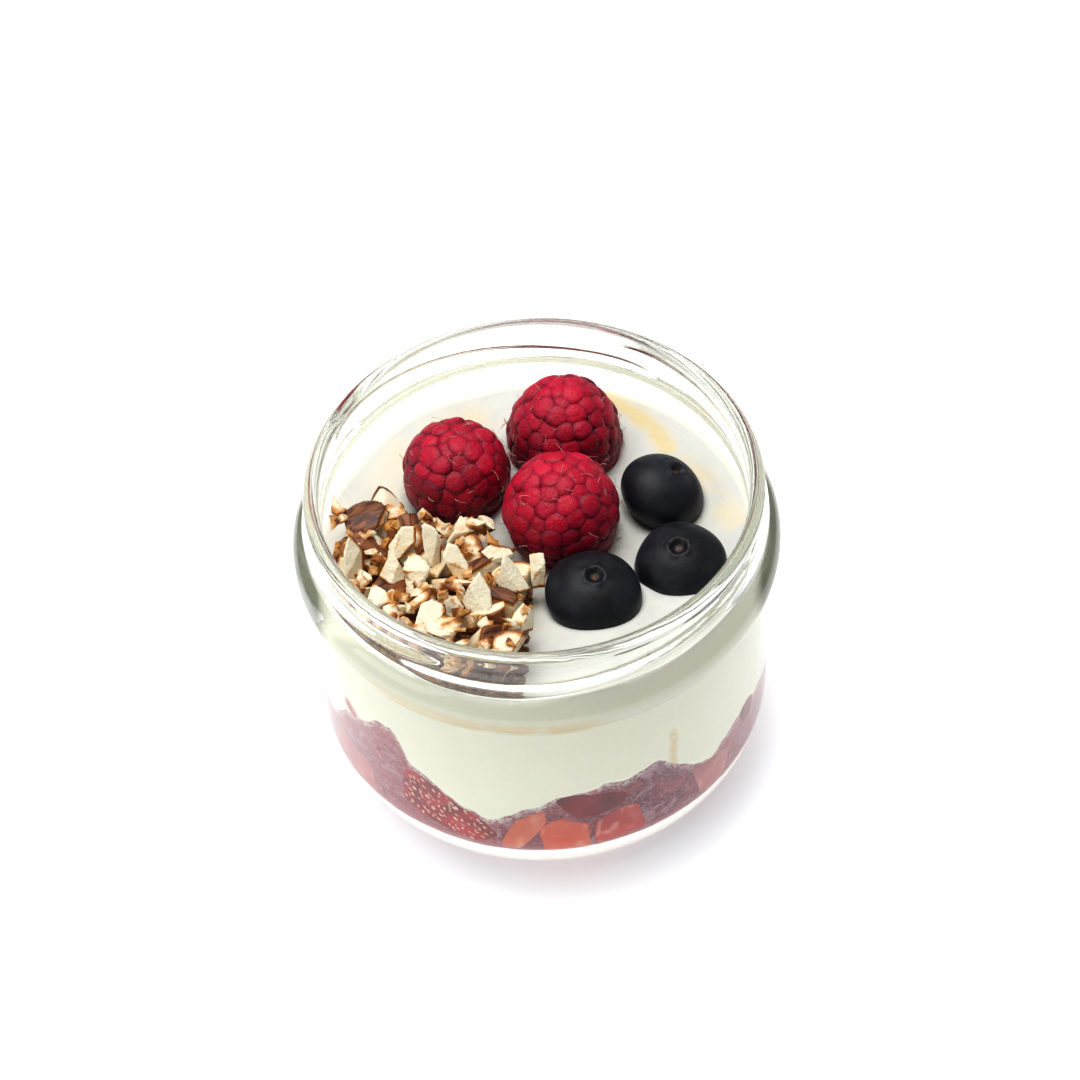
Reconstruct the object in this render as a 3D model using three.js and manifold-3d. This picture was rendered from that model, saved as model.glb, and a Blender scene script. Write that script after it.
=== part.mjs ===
// A small glass jar of mascarpone dessert: strawberry pieces in their mash at the bottom, mascarpone cream
// over them, and on top three raspberries, three blueberries and a heap of chopped toasted almonds.
// Millimetres, +Z up. The origin is the middle of the jar's foot, and the front of the jar faces -Y.
// Angles round the jar are degrees from the front, positive towards +X.

import * as THREE from "three";
import { ConvexGeometry } from "three/addons/geometries/ConvexGeometry.js";
import { mergeVertices } from "three/addons/utils/BufferGeometryUtils.js";
import Module from "manifold-3d";

const wasm = await Module();
wasm.setup();

// ---- Driving dimensions ----

const GAP = 0.3; // clearance between pieces that touch
const ROUND = 48; // facets round the jar
const LAYER_RINGS = [13, 23.5, 32, 38.2]; // every layer has the same net, so that neighbours fit face to face
const LAYER_SPOKES = 36;

const JAR_HEIGHT = 61;
const FOOT_RADIUS = 30.5; // outer edge of the flat ring that the jar stands on
const FOOT_INNER_RADIUS = 27.5;
const PUSH_UP = 1.3; // the underside is raised this much inside the ring
const HEEL_HEIGHT = 12.5; // the rounding from the foot up to the side
const BODY_RADIUS_LOW = 39.5;
const BODY_RADIUS_HIGH = 40.1;
const BEAD_RADIUS = 41.3; // the rounded collar under the thread
const BEAD_BOTTOM = 43.6;
const BEAD_TOP = 51.6;
const NECK_RADIUS = 38.2;
const LIP_RADIUS = 1.3; // the rounded lip's own radius
const LIP_MIDDLE_RADIUS = 37.2;
const MOUTH_RADIUS = LIP_MIDDLE_RADIUS - LIP_RADIUS;
const FLOOR_HEIGHT = 4.6; // inside bottom, above the table
const INNER_HEEL_RADIUS = 28.7; // where the inside bottom starts to curve up
const INNER_HEEL_HEIGHT = 12.8;
const BODY_INNER_RADIUS_LOW = 37.1;
const BODY_INNER_RADIUS_HIGH = 37.4;
const SHOULDER_LOW = 44.5; // the inside narrows to the mouth between these heights
const SHOULDER_HIGH = 50.5;

const THREAD_LUGS = 4;
const LUG_START = -37; // left end of the front lug
const LUG_ARC = 102; // so the next lug starts under this one's end
const LUG_TAPER = 13; // each end runs out over this arc
const LUG_LOW = 52.8; // height of a lug's middle at its left end
const LUG_HIGH = 56.6; // and at its right end
const LUG_WIDTH = 3.4;
const LUG_DEPTH = 1.05;
const LUG_LEVEL = 0.2; // share of the arc that runs level before the lug climbs

const CREAM_TOP = 43.3; // level at the back of the jar
const CREAM_RISE = 4.6; // the cream stands this much higher against the front glass
const CREAM_SLOPE = 0.025; // and climbs a little to the right and to the back
const CREAM_SWELL = 0.5; // height of the soft swells where the spoon left it
const CREAM_LOBE = { at: [10, -23], height: 1.3, spread: 70 }; // a dollop at the front right

// Height of the fruit's upper edge against the glass, by angle from the front.
const FRUIT_EDGE = [
  [-180, 22], [-158, 26], [-140, 20], [-118, 29], [-100, 22], [-84, 27], [-68, 21], [-60, 27.5],
  [-46, 33], [-40, 32], [-36, 26], [-28, 22], [-17, 17.4], [-8, 20], [2, 24], [18, 25.8],
  [28, 27], [35, 22.5], [46, 18.2], [58, 22], [72, 20.5], [92, 26], [112, 19], [136, 24], [160, 19.5],
];
const FRUIT_MIDDLE = 20; // and in the middle of the jar

// Strawberry pieces against the glass: the angle and height of the middle, the size along the glass, up and
// inwards, and the tilt. Slices with the skin on are rounder than the cut chunks.
const SKIN_ROUNDING = 0.24; // how far a slice's corners are drawn in
const CHUNK_ROUNDING = 0.06;
const STRAWBERRIES = [
  { name: "strawberry_slice_left", skin: true, angle: -28, z: 16.2, size: [18, 8.5, 7], tilt: -22 },
  { name: "strawberry_chunk_1", angle: -8, z: 13.4, size: [10, 6, 8], tilt: 50 },
  { name: "strawberry_chunk_2", angle: 4, z: 11.6, size: [7.6, 8.6, 8], tilt: 4 },
  { name: "strawberry_chunk_3", angle: 18.2, z: 12.4, size: [9, 8.6, 9], tilt: 12 },
  { name: "strawberry_slice_front", skin: true, angle: 10.5, z: 20.6, size: [14, 5.4, 6], tilt: 14 },
  { name: "strawberry_chunk_4", angle: 47, z: 12.8, size: [9, 7.5, 8], tilt: -12 },
  { name: "strawberry_slice_right", skin: true, angle: 61, z: 18.8, size: [9, 5, 6], tilt: 24 },
  { name: "strawberry_chunk_5", angle: 84, z: 13.5, size: [11, 8.6, 8], tilt: 16 },
  { name: "strawberry_slice_back_right", skin: true, angle: 113, z: 12.6, size: [13, 7, 7], tilt: -14 },
  { name: "strawberry_chunk_6", angle: 144, z: 15.2, size: [11, 9.6, 9], tilt: 8 },
  { name: "strawberry_slice_back", skin: true, angle: -179, z: 14.6, size: [15, 8, 7], tilt: 18 },
  { name: "strawberry_chunk_7", angle: -147, z: 12.2, size: [10, 8.5, 8], tilt: 10 },
  { name: "strawberry_chunk_8", angle: -117, z: 17, size: [11, 9.6, 9], tilt: -16 },
  { name: "strawberry_slice_back_left", skin: true, angle: -89, z: 13.4, size: [14, 8, 7], tilt: 12 },
  { name: "strawberry_chunk_9", angle: -60, z: 13.6, size: [12, 8.6, 8], tilt: -10 },
];
const SKIN_COLOR = 0x963a42;
const CHUNK_COLOR = 0xc65c50;

// Raspberries stand on their open ends, tips up: the middle of the widest ring, the radius there, the height of
// the dome above it and of the part below it, and the lean of the tip towards +X and +Y in degrees.
const RASPBERRIES = [
  { name: "raspberry_front", at: [4.4, 2.0, 50.7], radius: 10.1, dome: 9.6, foot: 8.0, lean: [-6, -14] },
  { name: "raspberry_left", at: [-13.2, 13.8, 48.6], radius: 9.5, dome: 8.8, foot: 6.6, lean: [-4, -6] },
  { name: "raspberry_back", at: [5.7, 22.4, 46.1], radius: 10.3, dome: 12.6, foot: 4.6, lean: [2, -4] },
];
const DRUPELET = 3.5; // spacing of the drupelets
const DRUPELET_BULGE = 0.6; // height of a drupelet's top over the net that joins their middles
const DRUPELET_SINK = 0.45; // depth of the hollows between them, under that net
const DRUPELET_ROWS = 0.84; // rows lie this share of the spacing apart, as in a honeycomb
const RASPBERRY_ROOM = 1.2; // the cream and the almonds stay this far from a raspberry

// Blueberries: middle, radius, half their height, and the lean of the crown.
const BLUEBERRIES = [
  { name: "blueberry_front", at: [8.9, -14.9, 48.4], radius: 8.1, half: 5.4, lean: [3, -4] },
  { name: "blueberry_right", at: [23.8, -8.2, 46.8], radius: 7.8, half: 5.4, lean: [-4, -6] },
  { name: "blueberry_upper", at: [21.9, 8.4, 46.4], radius: 7.5, half: 5.8, lean: [30, 6] },
];

const ALMOND_LEFT = -112; // the heap of almonds reaches round the front glass between these angles
const ALMOND_RIGHT = 6;
const ALMOND_CORE = 2.2; // thickness of the heap's core over the cream
const ALMOND_SKIRT = 1.6; // the core's edge runs down this far under the cream's top
const ALMOND_PIECES = 40;
const ALMOND_LENGTH = [4.2, 8.6];
const ALMOND_SPREAD = 2.39996; // the golden angle in radians, which spreads the pieces evenly
const ALMOND_PLACES = 150; // places for a piece on the whole round, of which the heap uses its share
const ALMOND_LEAST = 0.35; // no piece where the core is thinner than this
const ALMOND_REACH = 33.6; // the middles of the pieces stay inside this radius

// ---- Small helpers ----

const radians = THREE.MathUtils.degToRad;

// A repeatable number between 0 and 1 for the whole number n.
function chance(n) {
  const s = Math.sin(n * 12.9898 + 4.1414) * 43758.5453;
  return s - Math.floor(s);
}

function mix(a, b, t) {
  return a + (b - a) * t;
}

function smooth(low, high, value) {
  const t = Math.min(1, Math.max(0, (value - low) / (high - low)));
  return t * t * (3 - 2 * t);
}

// Points of a quarter turn or any other arc of an ellipse, in the (radius, height) plane.
function arc(centreR, centreZ, radiusR, radiusZ, from, to, steps) {
  const points = [];
  for (let i = 0; i <= steps; i++) {
    const a = radians(mix(from, to, i / steps));
    points.push([centreR + radiusR * Math.cos(a), centreZ + radiusZ * Math.sin(a)]);
  }
  return points;
}

// A closed geometry as a solid that can be joined and cut.
function solid(geometry) {
  const bare = geometry.index ? geometry.toNonIndexed() : geometry.clone();
  bare.deleteAttribute("normal");
  bare.deleteAttribute("uv");
  const merged = mergeVertices(bare, 1e-4);
  return new wasm.Manifold(
    new wasm.Mesh({
      numProp: 3,
      vertProperties: merged.attributes.position.array,
      triVerts: new Uint32Array(merged.index.array),
    }),
  );
}

// A profile of [radius, height] points, turned about the Z axis.
function turned(profile, segments) {
  const points = profile.map(([r, z]) => new THREE.Vector2(r, z));
  const geometry = new THREE.LatheGeometry(points, segments);
  geometry.rotateX(Math.PI / 2);
  return geometry;
}

function joined(solids) {
  return wasm.Manifold.union(solids);
}

function mesh(name, body, color, roughness) {
  const made = body.getMesh();
  const geometry = new THREE.BufferGeometry();
  const vertices = new Float32Array(made.numVert * 3);
  for (let i = 0; i < made.numVert; i++) {
    vertices.set(made.vertProperties.subarray(i * made.numProp, i * made.numProp + 3), i * 3);
  }
  geometry.setAttribute("position", new THREE.BufferAttribute(vertices, 3));
  geometry.setIndex(new THREE.BufferAttribute(made.triVerts, 1));
  geometry.computeVertexNormals();
  const material = new THREE.MeshStandardMaterial({ color, roughness, metalness: 0 });
  const named = new THREE.Mesh(geometry, material);
  named.name = name;
  return named;
}

// Moves every vertex of a geometry to where the function puts it.
function reshaped(geometry, place) {
  const position = geometry.attributes.position;
  const point = new THREE.Vector3();
  for (let i = 0; i < position.count; i++) {
    point.fromBufferAttribute(position, i);
    place(point);
    position.setXYZ(i, point.x, point.y, point.z);
  }
  return geometry;
}

// The matrix that leans a piece and puts it at its place.
function leaning(at, lean) {
  const turn = new THREE.Matrix4().makeRotationFromEuler(
    new THREE.Euler(radians(-lean[1]), radians(lean[0]), 0),
  );
  return turn.setPosition(at[0], at[1], at[2]);
}

// ---- The jar ----

function jarOutside() {
  const out = BEAD_RADIUS - NECK_RADIUS;
  const half = (BEAD_TOP - BEAD_BOTTOM) / 2;
  const start = -THREE.MathUtils.radToDeg(Math.acos((BODY_RADIUS_HIGH - NECK_RADIUS) / out));
  const bead = arc(NECK_RADIUS, BEAD_BOTTOM + half, out, half, start, 90, 4);
  return [
    [0, PUSH_UP],
    [FOOT_INNER_RADIUS - 4, PUSH_UP],
    [FOOT_INNER_RADIUS, 0],
    ...arc(FOOT_RADIUS, HEEL_HEIGHT, BODY_RADIUS_LOW - FOOT_RADIUS, HEEL_HEIGHT, -90, 0, 5),
    [BODY_RADIUS_HIGH, BEAD_BOTTOM],
    ...bead,
    [NECK_RADIUS, JAR_HEIGHT - 2 * LIP_RADIUS],
    ...arc(LIP_MIDDLE_RADIUS, JAR_HEIGHT - LIP_RADIUS, LIP_RADIUS, LIP_RADIUS, 0, 90, 2),
  ];
}

// The inside of the wall, from the middle of the bottom up to the lip, moved inwards by a clearance.
function jarInside(clearance) {
  return [
    [0, FLOOR_HEIGHT + clearance],
    ...arc(
      INNER_HEEL_RADIUS, INNER_HEEL_HEIGHT, BODY_INNER_RADIUS_LOW - INNER_HEEL_RADIUS - clearance,
      INNER_HEEL_HEIGHT - FLOOR_HEIGHT - clearance, -90, 0, 3,
    ),
    [BODY_INNER_RADIUS_HIGH - clearance, SHOULDER_LOW],
    [MOUTH_RADIUS - clearance, SHOULDER_HIGH],
    [MOUTH_RADIUS - clearance, JAR_HEIGHT - LIP_RADIUS],
  ];
}

// One thread lug: a long capsule laid round the neck, its ends drawn out to points, rising to the right.
function threadLug(start) {
  const straight = LUG_ARC - 2 * LUG_TAPER;
  const geometry = new THREE.CapsuleGeometry(1, straight, 2, 6, 7);
  return reshaped(geometry, (p) => {
    const along = Math.sign(p.y) * Math.min(Math.abs(p.y), straight / 2);
    const past = (p.y - along) * LUG_TAPER;
    const turn = start + LUG_ARC / 2 + along + past;
    const rise = smooth(start + LUG_ARC * LUG_LEVEL, start + LUG_ARC, turn);
    const radius = NECK_RADIUS - 0.1 + Math.max(p.x, -0.5) * LUG_DEPTH; // its inner half stays in the wall
    const height = mix(LUG_LOW, LUG_HIGH, rise) + (p.z * LUG_WIDTH) / 2;
    p.set(radius * Math.sin(radians(turn)), -radius * Math.cos(radians(turn)), height);
  });
}

function glassJar() {
  const inside = jarInside(0).reverse();
  const lip = arc(LIP_MIDDLE_RADIUS, JAR_HEIGHT - LIP_RADIUS, LIP_RADIUS, LIP_RADIUS, 90, 180, 2).slice(1, -1);
  const wall = solid(turned([...jarOutside(), ...lip, ...inside], ROUND));
  const lugs = [];
  for (let i = 0; i < THREAD_LUGS; i++) {
    lugs.push(solid(threadLug(LUG_START + (360 / THREAD_LUGS) * i)));
  }
  return joined([wall, ...lugs]);
}

// The space inside the jar that its contents fill.
function inTheJar() {
  return solid(turned([...jarInside(GAP), [0, JAR_HEIGHT - LIP_RADIUS]], ROUND));
}

// ---- The cream and the fruit ----

// The fruit's upper edge against the glass at an angle, eased from one listed point to the next.
function fruitEdge(angle) {
  const closed = [...FRUIT_EDGE, [FRUIT_EDGE[0][0] + 360, FRUIT_EDGE[0][1]]];
  const after = Math.max(1, closed.findIndex(([to]) => to >= angle));
  const [from, low] = closed[after - 1];
  const [to, high] = closed[after];
  return mix(low, high, smooth(from, to, angle));
}

function fruitTop(x, y) {
  const angle = THREE.MathUtils.radToDeg(Math.atan2(x, -y));
  const out = Math.min(1, Math.hypot(x, y) / BODY_INNER_RADIUS_LOW);
  return mix(FRUIT_MIDDLE, fruitEdge(angle), out * out);
}

// The cream's top: low at the back, higher at the front, with soft swells where the spoon left it.
function creamTop(x, y) {
  const rise = CREAM_RISE * smooth(2, -30, y) + CREAM_SLOPE * (x + Math.max(0, y));
  const swells = Math.sin(x / 7.5 + 0.8) * Math.cos(y / 8.5 - 0.4) + 0.7 * Math.sin((x + y) / 5.2);
  const [lobeX, lobeY] = CREAM_LOBE.at;
  const lobe = CREAM_LOBE.height * Math.exp(-((x - lobeX) ** 2 + (y - lobeY) ** 2) / CREAM_LOBE.spread);
  return CREAM_TOP + rise + CREAM_SWELL * swells + lobe;
}

// A round slab between two height functions, wide enough to be cut by the inside of the jar. Its top and its
// bottom have the same net of spokes and rings.
function slab(bottom, top) {
  const net = [[0, 0]];
  for (const radius of LAYER_RINGS) {
    for (let spoke = 0; spoke < LAYER_SPOKES; spoke++) {
      const turn = (2 * Math.PI * spoke) / LAYER_SPOKES;
      net.push([radius * Math.cos(turn), radius * Math.sin(turn)]);
    }
  }
  const over = net.length;
  const faces = [];
  for (let spoke = 0; spoke < LAYER_SPOKES; spoke++) {
    const here = 1 + spoke;
    const next = 1 + ((spoke + 1) % LAYER_SPOKES);
    faces.push([0, here, next]);
    for (let inner = 0; inner < LAYER_RINGS.length - 1; inner++) {
      const from = inner * LAYER_SPOKES;
      const to = from + LAYER_SPOKES;
      faces.push([here + from, here + to, next + to], [here + from, next + to, next + from]);
    }
  }
  const index = [];
  for (const [a, b, c] of faces) index.push(a + over, b + over, c + over, a, c, b);
  const rim = over - LAYER_SPOKES;
  for (let spoke = 0; spoke < LAYER_SPOKES; spoke++) {
    const here = rim + spoke;
    const next = rim + ((spoke + 1) % LAYER_SPOKES);
    index.push(here, next, next + over, here, next + over, here + over);
  }
  const low = net.flatMap(([x, y]) => [x, y, bottom(x, y)]);
  const high = net.flatMap(([x, y]) => [x, y, top(x, y)]);
  const geometry = new THREE.BufferGeometry();
  geometry.setAttribute("position", new THREE.Float32BufferAttribute([...low, ...high], 3));
  geometry.setIndex(index);
  return solid(geometry);
}

// A block with its corners drawn in, bent round the inside of the wall.
function strawberryPiece(piece, index) {
  const [width, height, depth] = piece.size;
  const tilt = radians(piece.tilt);
  const steps = piece.skin ? 2 : 1;
  const rounding = piece.skin ? SKIN_ROUNDING : CHUNK_ROUNDING;
  return reshaped(new THREE.BoxGeometry(1, 1, 1, steps, 1, steps), (p) => {
    const corner = 1 - rounding * Math.abs(4 * p.x * p.z);
    const uneven = 0.94 + 0.12 * chance(index * 37 + Math.round(p.x * 2) * 7 + Math.round(p.z * 2));
    const u = p.x * width * corner * uneven;
    const v = p.z * height * corner * uneven;
    const across = u * Math.cos(tilt) - v * Math.sin(tilt);
    const up = u * Math.sin(tilt) + v * Math.cos(tilt);
    const turn = radians(piece.angle) + across / BODY_INNER_RADIUS_LOW;
    const radius = BODY_INNER_RADIUS_LOW - depth * 0.38 - p.y * depth * corner;
    p.set(radius * Math.sin(turn), -radius * Math.cos(turn), piece.z + up);
  });
}

// The same piece grown by the gap on every side, which the mash round it is cut by.
function grown(piece) {
  return { ...piece, size: piece.size.map((s) => s * 1.07 + 2 * GAP) };
}

// ---- The berries ----

// Radius of a raspberry's outline at a height over or under its widest ring.
function raspberryOutline(berry, z) {
  if (z >= 0) return berry.radius * Math.pow(Math.max(0, 1 - Math.pow(z / berry.dome, 2.2)), 0.5);
  return berry.radius * (1 - 0.16 * Math.pow(-z / berry.foot, 2));
}

// The drupelets stand in rings from the tip down, each ring turned half a step from the last.
function drupelets(berry, seed) {
  const list = [];
  let z = berry.dome - DRUPELET_BULGE * 1.5;
  let ring = 0;
  while (z > -berry.foot + 1.2) {
    const radius = Math.max(0, raspberryOutline(berry, z) - DRUPELET_BULGE);
    const count = ring === 0 ? 3 : Math.max(6, Math.round((2 * Math.PI * radius) / DRUPELET));
    const ringRadius = ring === 0 ? 1.7 : radius;
    for (let i = 0; i < count; i++) {
      const n = seed * 1000 + ring * 40 + i;
      const turn = ((i + 0.5 * (ring % 2) + 0.22 * (chance(n) - 0.5)) / count) * 2 * Math.PI;
      const out = ringRadius + 0.4 * (chance(n + 17) - 0.5);
      const lift = 0.6 * (chance(n + 31) - 0.5);
      list.push({ x: out * Math.cos(turn), y: out * Math.sin(turn), z: z + lift });
    }
    // the next ring is one row further down the outline
    const step = 0.1;
    let travelled = 0;
    while (travelled < DRUPELET * DRUPELET_ROWS) {
      const slope = raspberryOutline(berry, z - step) - raspberryOutline(berry, z);
      travelled += Math.hypot(step, Math.min(slope, 2));
      z -= step;
    }
    ring++;
  }
  return list;
}

// A net of triangles is laid over the middles of the drupelets, and the middle and the edges of every triangle
// sink in between them.
function raspberry(berry, seed) {
  const foot = new THREE.Vector3(0, 0, -berry.foot);
  const knots = [...drupelets(berry, seed).map((d) => new THREE.Vector3(d.x, d.y, d.z)), foot];
  const onBall = new Map(knots.map((knot) => [knot.clone().normalize(), knot]));
  const net = new ConvexGeometry([...onBall.keys()]).attributes.position;
  const knotAt = (i) => {
    const corner = new THREE.Vector3().fromBufferAttribute(net, i);
    for (const [ball, knot] of onBall) if (ball.distanceTo(corner) < 1e-5) return knot;
    return foot;
  };
  const outwards = (knot) => knot.clone().normalize().multiplyScalar(knot === foot ? 0 : DRUPELET_BULGE);
  const sunk = (point, depth) => point.addScaledVector(point.clone().normalize(), -depth);
  const vertices = [];
  for (let i = 0; i < net.count; i += 3) {
    const at = [0, 1, 2].map((k) => knotAt(i + k));
    const tip = at.map((knot) => knot.clone().add(outwards(knot)));
    const hollow = sunk(at[0].clone().add(at[1]).add(at[2]).divideScalar(3), DRUPELET_SINK);
    for (let k = 0; k < 3; k++) {
      const next = (k + 1) % 3;
      const valley = at[k].clone().add(at[next]).multiplyScalar(0.5);
      if (at[k] !== foot && at[next] !== foot) sunk(valley, DRUPELET_SINK * 0.3);
      vertices.push(...tip[k], ...valley, ...hollow, ...valley, ...tip[next], ...hollow);
    }
  }
  const geometry = new THREE.BufferGeometry();
  geometry.setAttribute("position", new THREE.Float32BufferAttribute(vertices, 3));
  return solid(geometry);
}

// The hollow that a raspberry has pressed into what lies round it.
function raspberryRoom(berry) {
  const bottom = -berry.foot - RASPBERRY_ROOM;
  const steps = 5;
  const profile = [[0, bottom]];
  for (let i = 0; i <= steps; i++) {
    const z = mix(bottom, berry.dome, i / steps);
    profile.push([raspberryOutline(berry, Math.min(z, berry.dome * 0.97)) + RASPBERRY_ROOM, z]);
  }
  profile.push([0, berry.dome + RASPBERRY_ROOM]);
  return solid(turned(profile, 12).applyMatrix4(leaning(berry.at, berry.lean)));
}

// A blueberry: a flattened ball with the ring of its crown round a small crater.
function blueberry(berry) {
  const h = berry.half;
  const crown = [[2.6, h * 0.93], [2.0, h], [1.3, h * 0.8], [0, h * 0.72]];
  const profile = [[0, -h], ...arc(0, 0, berry.radius, h, -66, 60, 5), ...crown];
  return solid(turned(profile, 14).applyMatrix4(leaning(berry.at, berry.lean)));
}

// The hollow that a blueberry has pressed into what lies round it.
function blueberryRoom(berry) {
  const h = berry.half + GAP;
  const profile = [[0, -h], ...arc(0, 0, berry.radius + GAP, h, -66, 60, 5), [0, h]];
  return solid(turned(profile, 14).applyMatrix4(leaning(berry.at, berry.lean)));
}

// ---- The almonds ----

// How thick the heap's core is over the cream at a place: it lies against the glass only at the front.
function almondDepth(x, y) {
  const angle = THREE.MathUtils.radToDeg(Math.atan2(x, -y));
  const radius = Math.hypot(x, y);
  const left = smooth(ALMOND_LEFT - 4, ALMOND_LEFT + 16, angle);
  const right = smooth(ALMOND_RIGHT + 3, ALMOND_RIGHT - 10, angle);
  const atGlass = mix(smooth(35.6, 33.4, radius), 1, smooth(-40, -26, angle));
  const inner = smooth(8, 15, Math.hypot(x - 3, y - 2));
  const back = smooth(16, 8, y + Math.abs(x + 24) * 0.3);
  return (ALMOND_CORE + ALMOND_SKIRT) * left * right * atGlass * inner * back - ALMOND_SKIRT;
}

// One chopped piece: a lump with flat cuts, longer than it is thick.
function almondPiece(n, at, length) {
  const geometry = new THREE.BoxGeometry(1, 1, 1);
  const wide = length * (0.5 + 0.22 * chance(n + 3));
  const thick = length * (0.34 + 0.2 * chance(n + 5));
  reshaped(geometry, (p) => {
    const corner = (p.x > 0 ? 4 : 0) + (p.y > 0 ? 2 : 0) + (p.z > 0 ? 1 : 0);
    const pull = (k) => 0.62 + 0.5 * chance(n * 8 + corner + k * 101);
    p.set(p.x * length * pull(1), p.y * wide * pull(2), p.z * thick * pull(3));
  });
  const turn = new THREE.Euler(
    radians(mix(-50, 50, chance(n + 7))), radians(mix(-50, 50, chance(n + 9))), 2 * Math.PI * chance(n + 11),
  );
  geometry.applyMatrix4(new THREE.Matrix4().makeRotationFromEuler(turn));
  return solid(geometry.translate(at[0], at[1], at[2]));
}

function almondHeap(rooms) {
  const under = (x, y) => creamTop(x, y) + GAP;
  const bare = slab(
    (x, y) => Math.min(under(x, y), creamTop(x, y) + almondDepth(x, y) - 0.4),
    (x, y) => creamTop(x, y) + almondDepth(x, y),
  );
  const parts = [bare];
  for (let i = 0; i < ALMOND_PLACES && parts.length <= ALMOND_PIECES; i++) {
    const radius = ALMOND_REACH * Math.sqrt((i + 0.5) / ALMOND_PLACES);
    const turn = i * ALMOND_SPREAD;
    const x = radius * Math.sin(turn);
    const y = -radius * Math.cos(turn);
    if (almondDepth(x, y) < ALMOND_LEAST) continue;
    const length = mix(ALMOND_LENGTH[0], ALMOND_LENGTH[1], chance(i + 201) ** 1.4);
    const lift = mix(0.7, 2.2, chance(i + 301));
    parts.push(almondPiece(i, [x, y, creamTop(x, y) + almondDepth(x, y) + lift], length));
  }
  const overCream = slab(under, () => JAR_HEIGHT);
  let heap = joined(parts).intersect(overCream).intersect(inTheJar());
  for (const room of rooms) heap = heap.subtract(room);
  return largest(heap);
}

// The biggest body of a solid, without the loose scraps that a cut leaves.
function largest(body) {
  return body.decompose().sort((a, b) => b.volume() - a.volume())[0];
}

// ---- The whole dessert ----

const dessert = new THREE.Group();
const inside = inTheJar();

dessert.add(mesh("glass_jar", glassJar(), 0xe3ebe6, 0.05));

const pieces = STRAWBERRIES.map((piece, i) => solid(strawberryPiece(piece, i)).intersect(inside));
const rooms = STRAWBERRIES.map((piece, i) => solid(strawberryPiece(grown(piece), i)));
STRAWBERRIES.forEach((piece, i) => {
  let cut = pieces[i];
  for (let j = 0; j < i; j++) cut = cut.subtract(rooms[j]);
  dessert.add(mesh(piece.name, largest(cut), piece.skin ? SKIN_COLOR : CHUNK_COLOR, 0.45));
});

const fruit = slab(() => 0, (x, y) => fruitTop(x, y) - GAP / 2);
const fruitCut = fruit.intersect(inside).subtract(joined(rooms));
dessert.add(mesh("strawberry_mash", largest(fruitCut), 0x9d5f6c, 0.5));

const berryRooms = [
  ...RASPBERRIES.map((berry) => raspberryRoom(berry)),
  ...BLUEBERRIES.map((berry) => blueberryRoom(berry)),
];
const creamSlab = slab((x, y) => fruitTop(x, y) + GAP / 2, creamTop);
const cream = creamSlab.intersect(inside).subtract(joined([...rooms, ...berryRooms]));
dessert.add(mesh("mascarpone_cream", largest(cream), 0xf1efe4, 0.55));

RASPBERRIES.forEach((berry, i) => {
  const named = mesh(berry.name, raspberry(berry, i + 1), 0xa3142e, 0.5);
  named.applyMatrix4(leaning(berry.at, berry.lean));
  dessert.add(named);
});
for (const berry of BLUEBERRIES) dessert.add(mesh(berry.name, blueberry(berry), 0x22252f, 0.6));

dessert.add(mesh("chopped_almonds", almondHeap(berryRooms), 0xd9b98a, 0.75));

export default dessert;
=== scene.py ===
# %% [markdown]
# # A small jar of mascarpone dessert
# A glass jar holds strawberry pieces in their mash, mascarpone cream over them, and on top three
# raspberries, three blueberries and a heap of chopped toasted almonds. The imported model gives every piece
# its place and its size. This script makes the fine surfaces and the finishes over it, in the same frame:
# +Z up, the front of the jar towards -Y, the origin in the middle of the foot. Lengths are written in
# millimetres and turned into Blender's metres where a mesh is made.

import math

import bmesh
import bpy
import numpy as np
from mathutils import Euler, Matrix, Vector, noise


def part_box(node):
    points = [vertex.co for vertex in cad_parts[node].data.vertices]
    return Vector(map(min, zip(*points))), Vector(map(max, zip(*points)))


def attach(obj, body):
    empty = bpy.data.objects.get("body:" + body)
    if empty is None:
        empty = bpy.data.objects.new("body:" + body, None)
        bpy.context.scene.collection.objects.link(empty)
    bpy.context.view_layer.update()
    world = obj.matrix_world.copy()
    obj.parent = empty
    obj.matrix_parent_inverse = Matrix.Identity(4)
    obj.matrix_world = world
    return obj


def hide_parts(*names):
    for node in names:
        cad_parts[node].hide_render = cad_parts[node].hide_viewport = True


MM = 0.001
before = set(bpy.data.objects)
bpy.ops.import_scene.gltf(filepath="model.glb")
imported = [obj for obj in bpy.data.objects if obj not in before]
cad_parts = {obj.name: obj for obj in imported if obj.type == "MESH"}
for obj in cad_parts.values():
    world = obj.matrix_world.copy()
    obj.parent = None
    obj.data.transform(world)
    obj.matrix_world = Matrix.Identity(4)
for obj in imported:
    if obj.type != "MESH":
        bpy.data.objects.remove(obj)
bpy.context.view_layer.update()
print("nodes in the frame:", len(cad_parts))

# %% [markdown]
# ## Chance, and mixing of numbers
# What looks random has to come out the same on each run, so every draw is from a generator with a fixed seed.

# %% Small helpers


def chance(seed):
    return np.random.default_rng(seed)


def mix(a, b, t):
    return a + (b - a) * t


def smooth(low, high, value):
    """0 below low, 1 above high, and an even ramp between them. low may be the larger one."""
    t = np.clip((np.asarray(value, float) - low) / (high - low), 0, 1)
    return t * t * (3 - 2 * t)


def unit(vectors):
    vectors = np.asarray(vectors, float)
    return vectors / np.linalg.norm(vectors, axis=-1, keepdims=True)


def round_the_jar(angle, radius):
    """x and y of a place round the jar. Angles are degrees from the front, positive towards +X."""
    turn = np.radians(angle)
    return radius * np.sin(turn), -radius * np.cos(turn)


def angle_of(x, y):
    return np.degrees(np.arctan2(x, -y))


# %% [markdown]
# ## Pieces from nets
# Most of this object is round, so most pieces are nets: rings of points, each joined to the next. A ring
# of one point closes a net like the pole of a globe. The helper below joins the rings, turns the faces
# outwards and gives back an object that stays at the origin, with its place in its mesh.

# %% Nets of points


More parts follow.
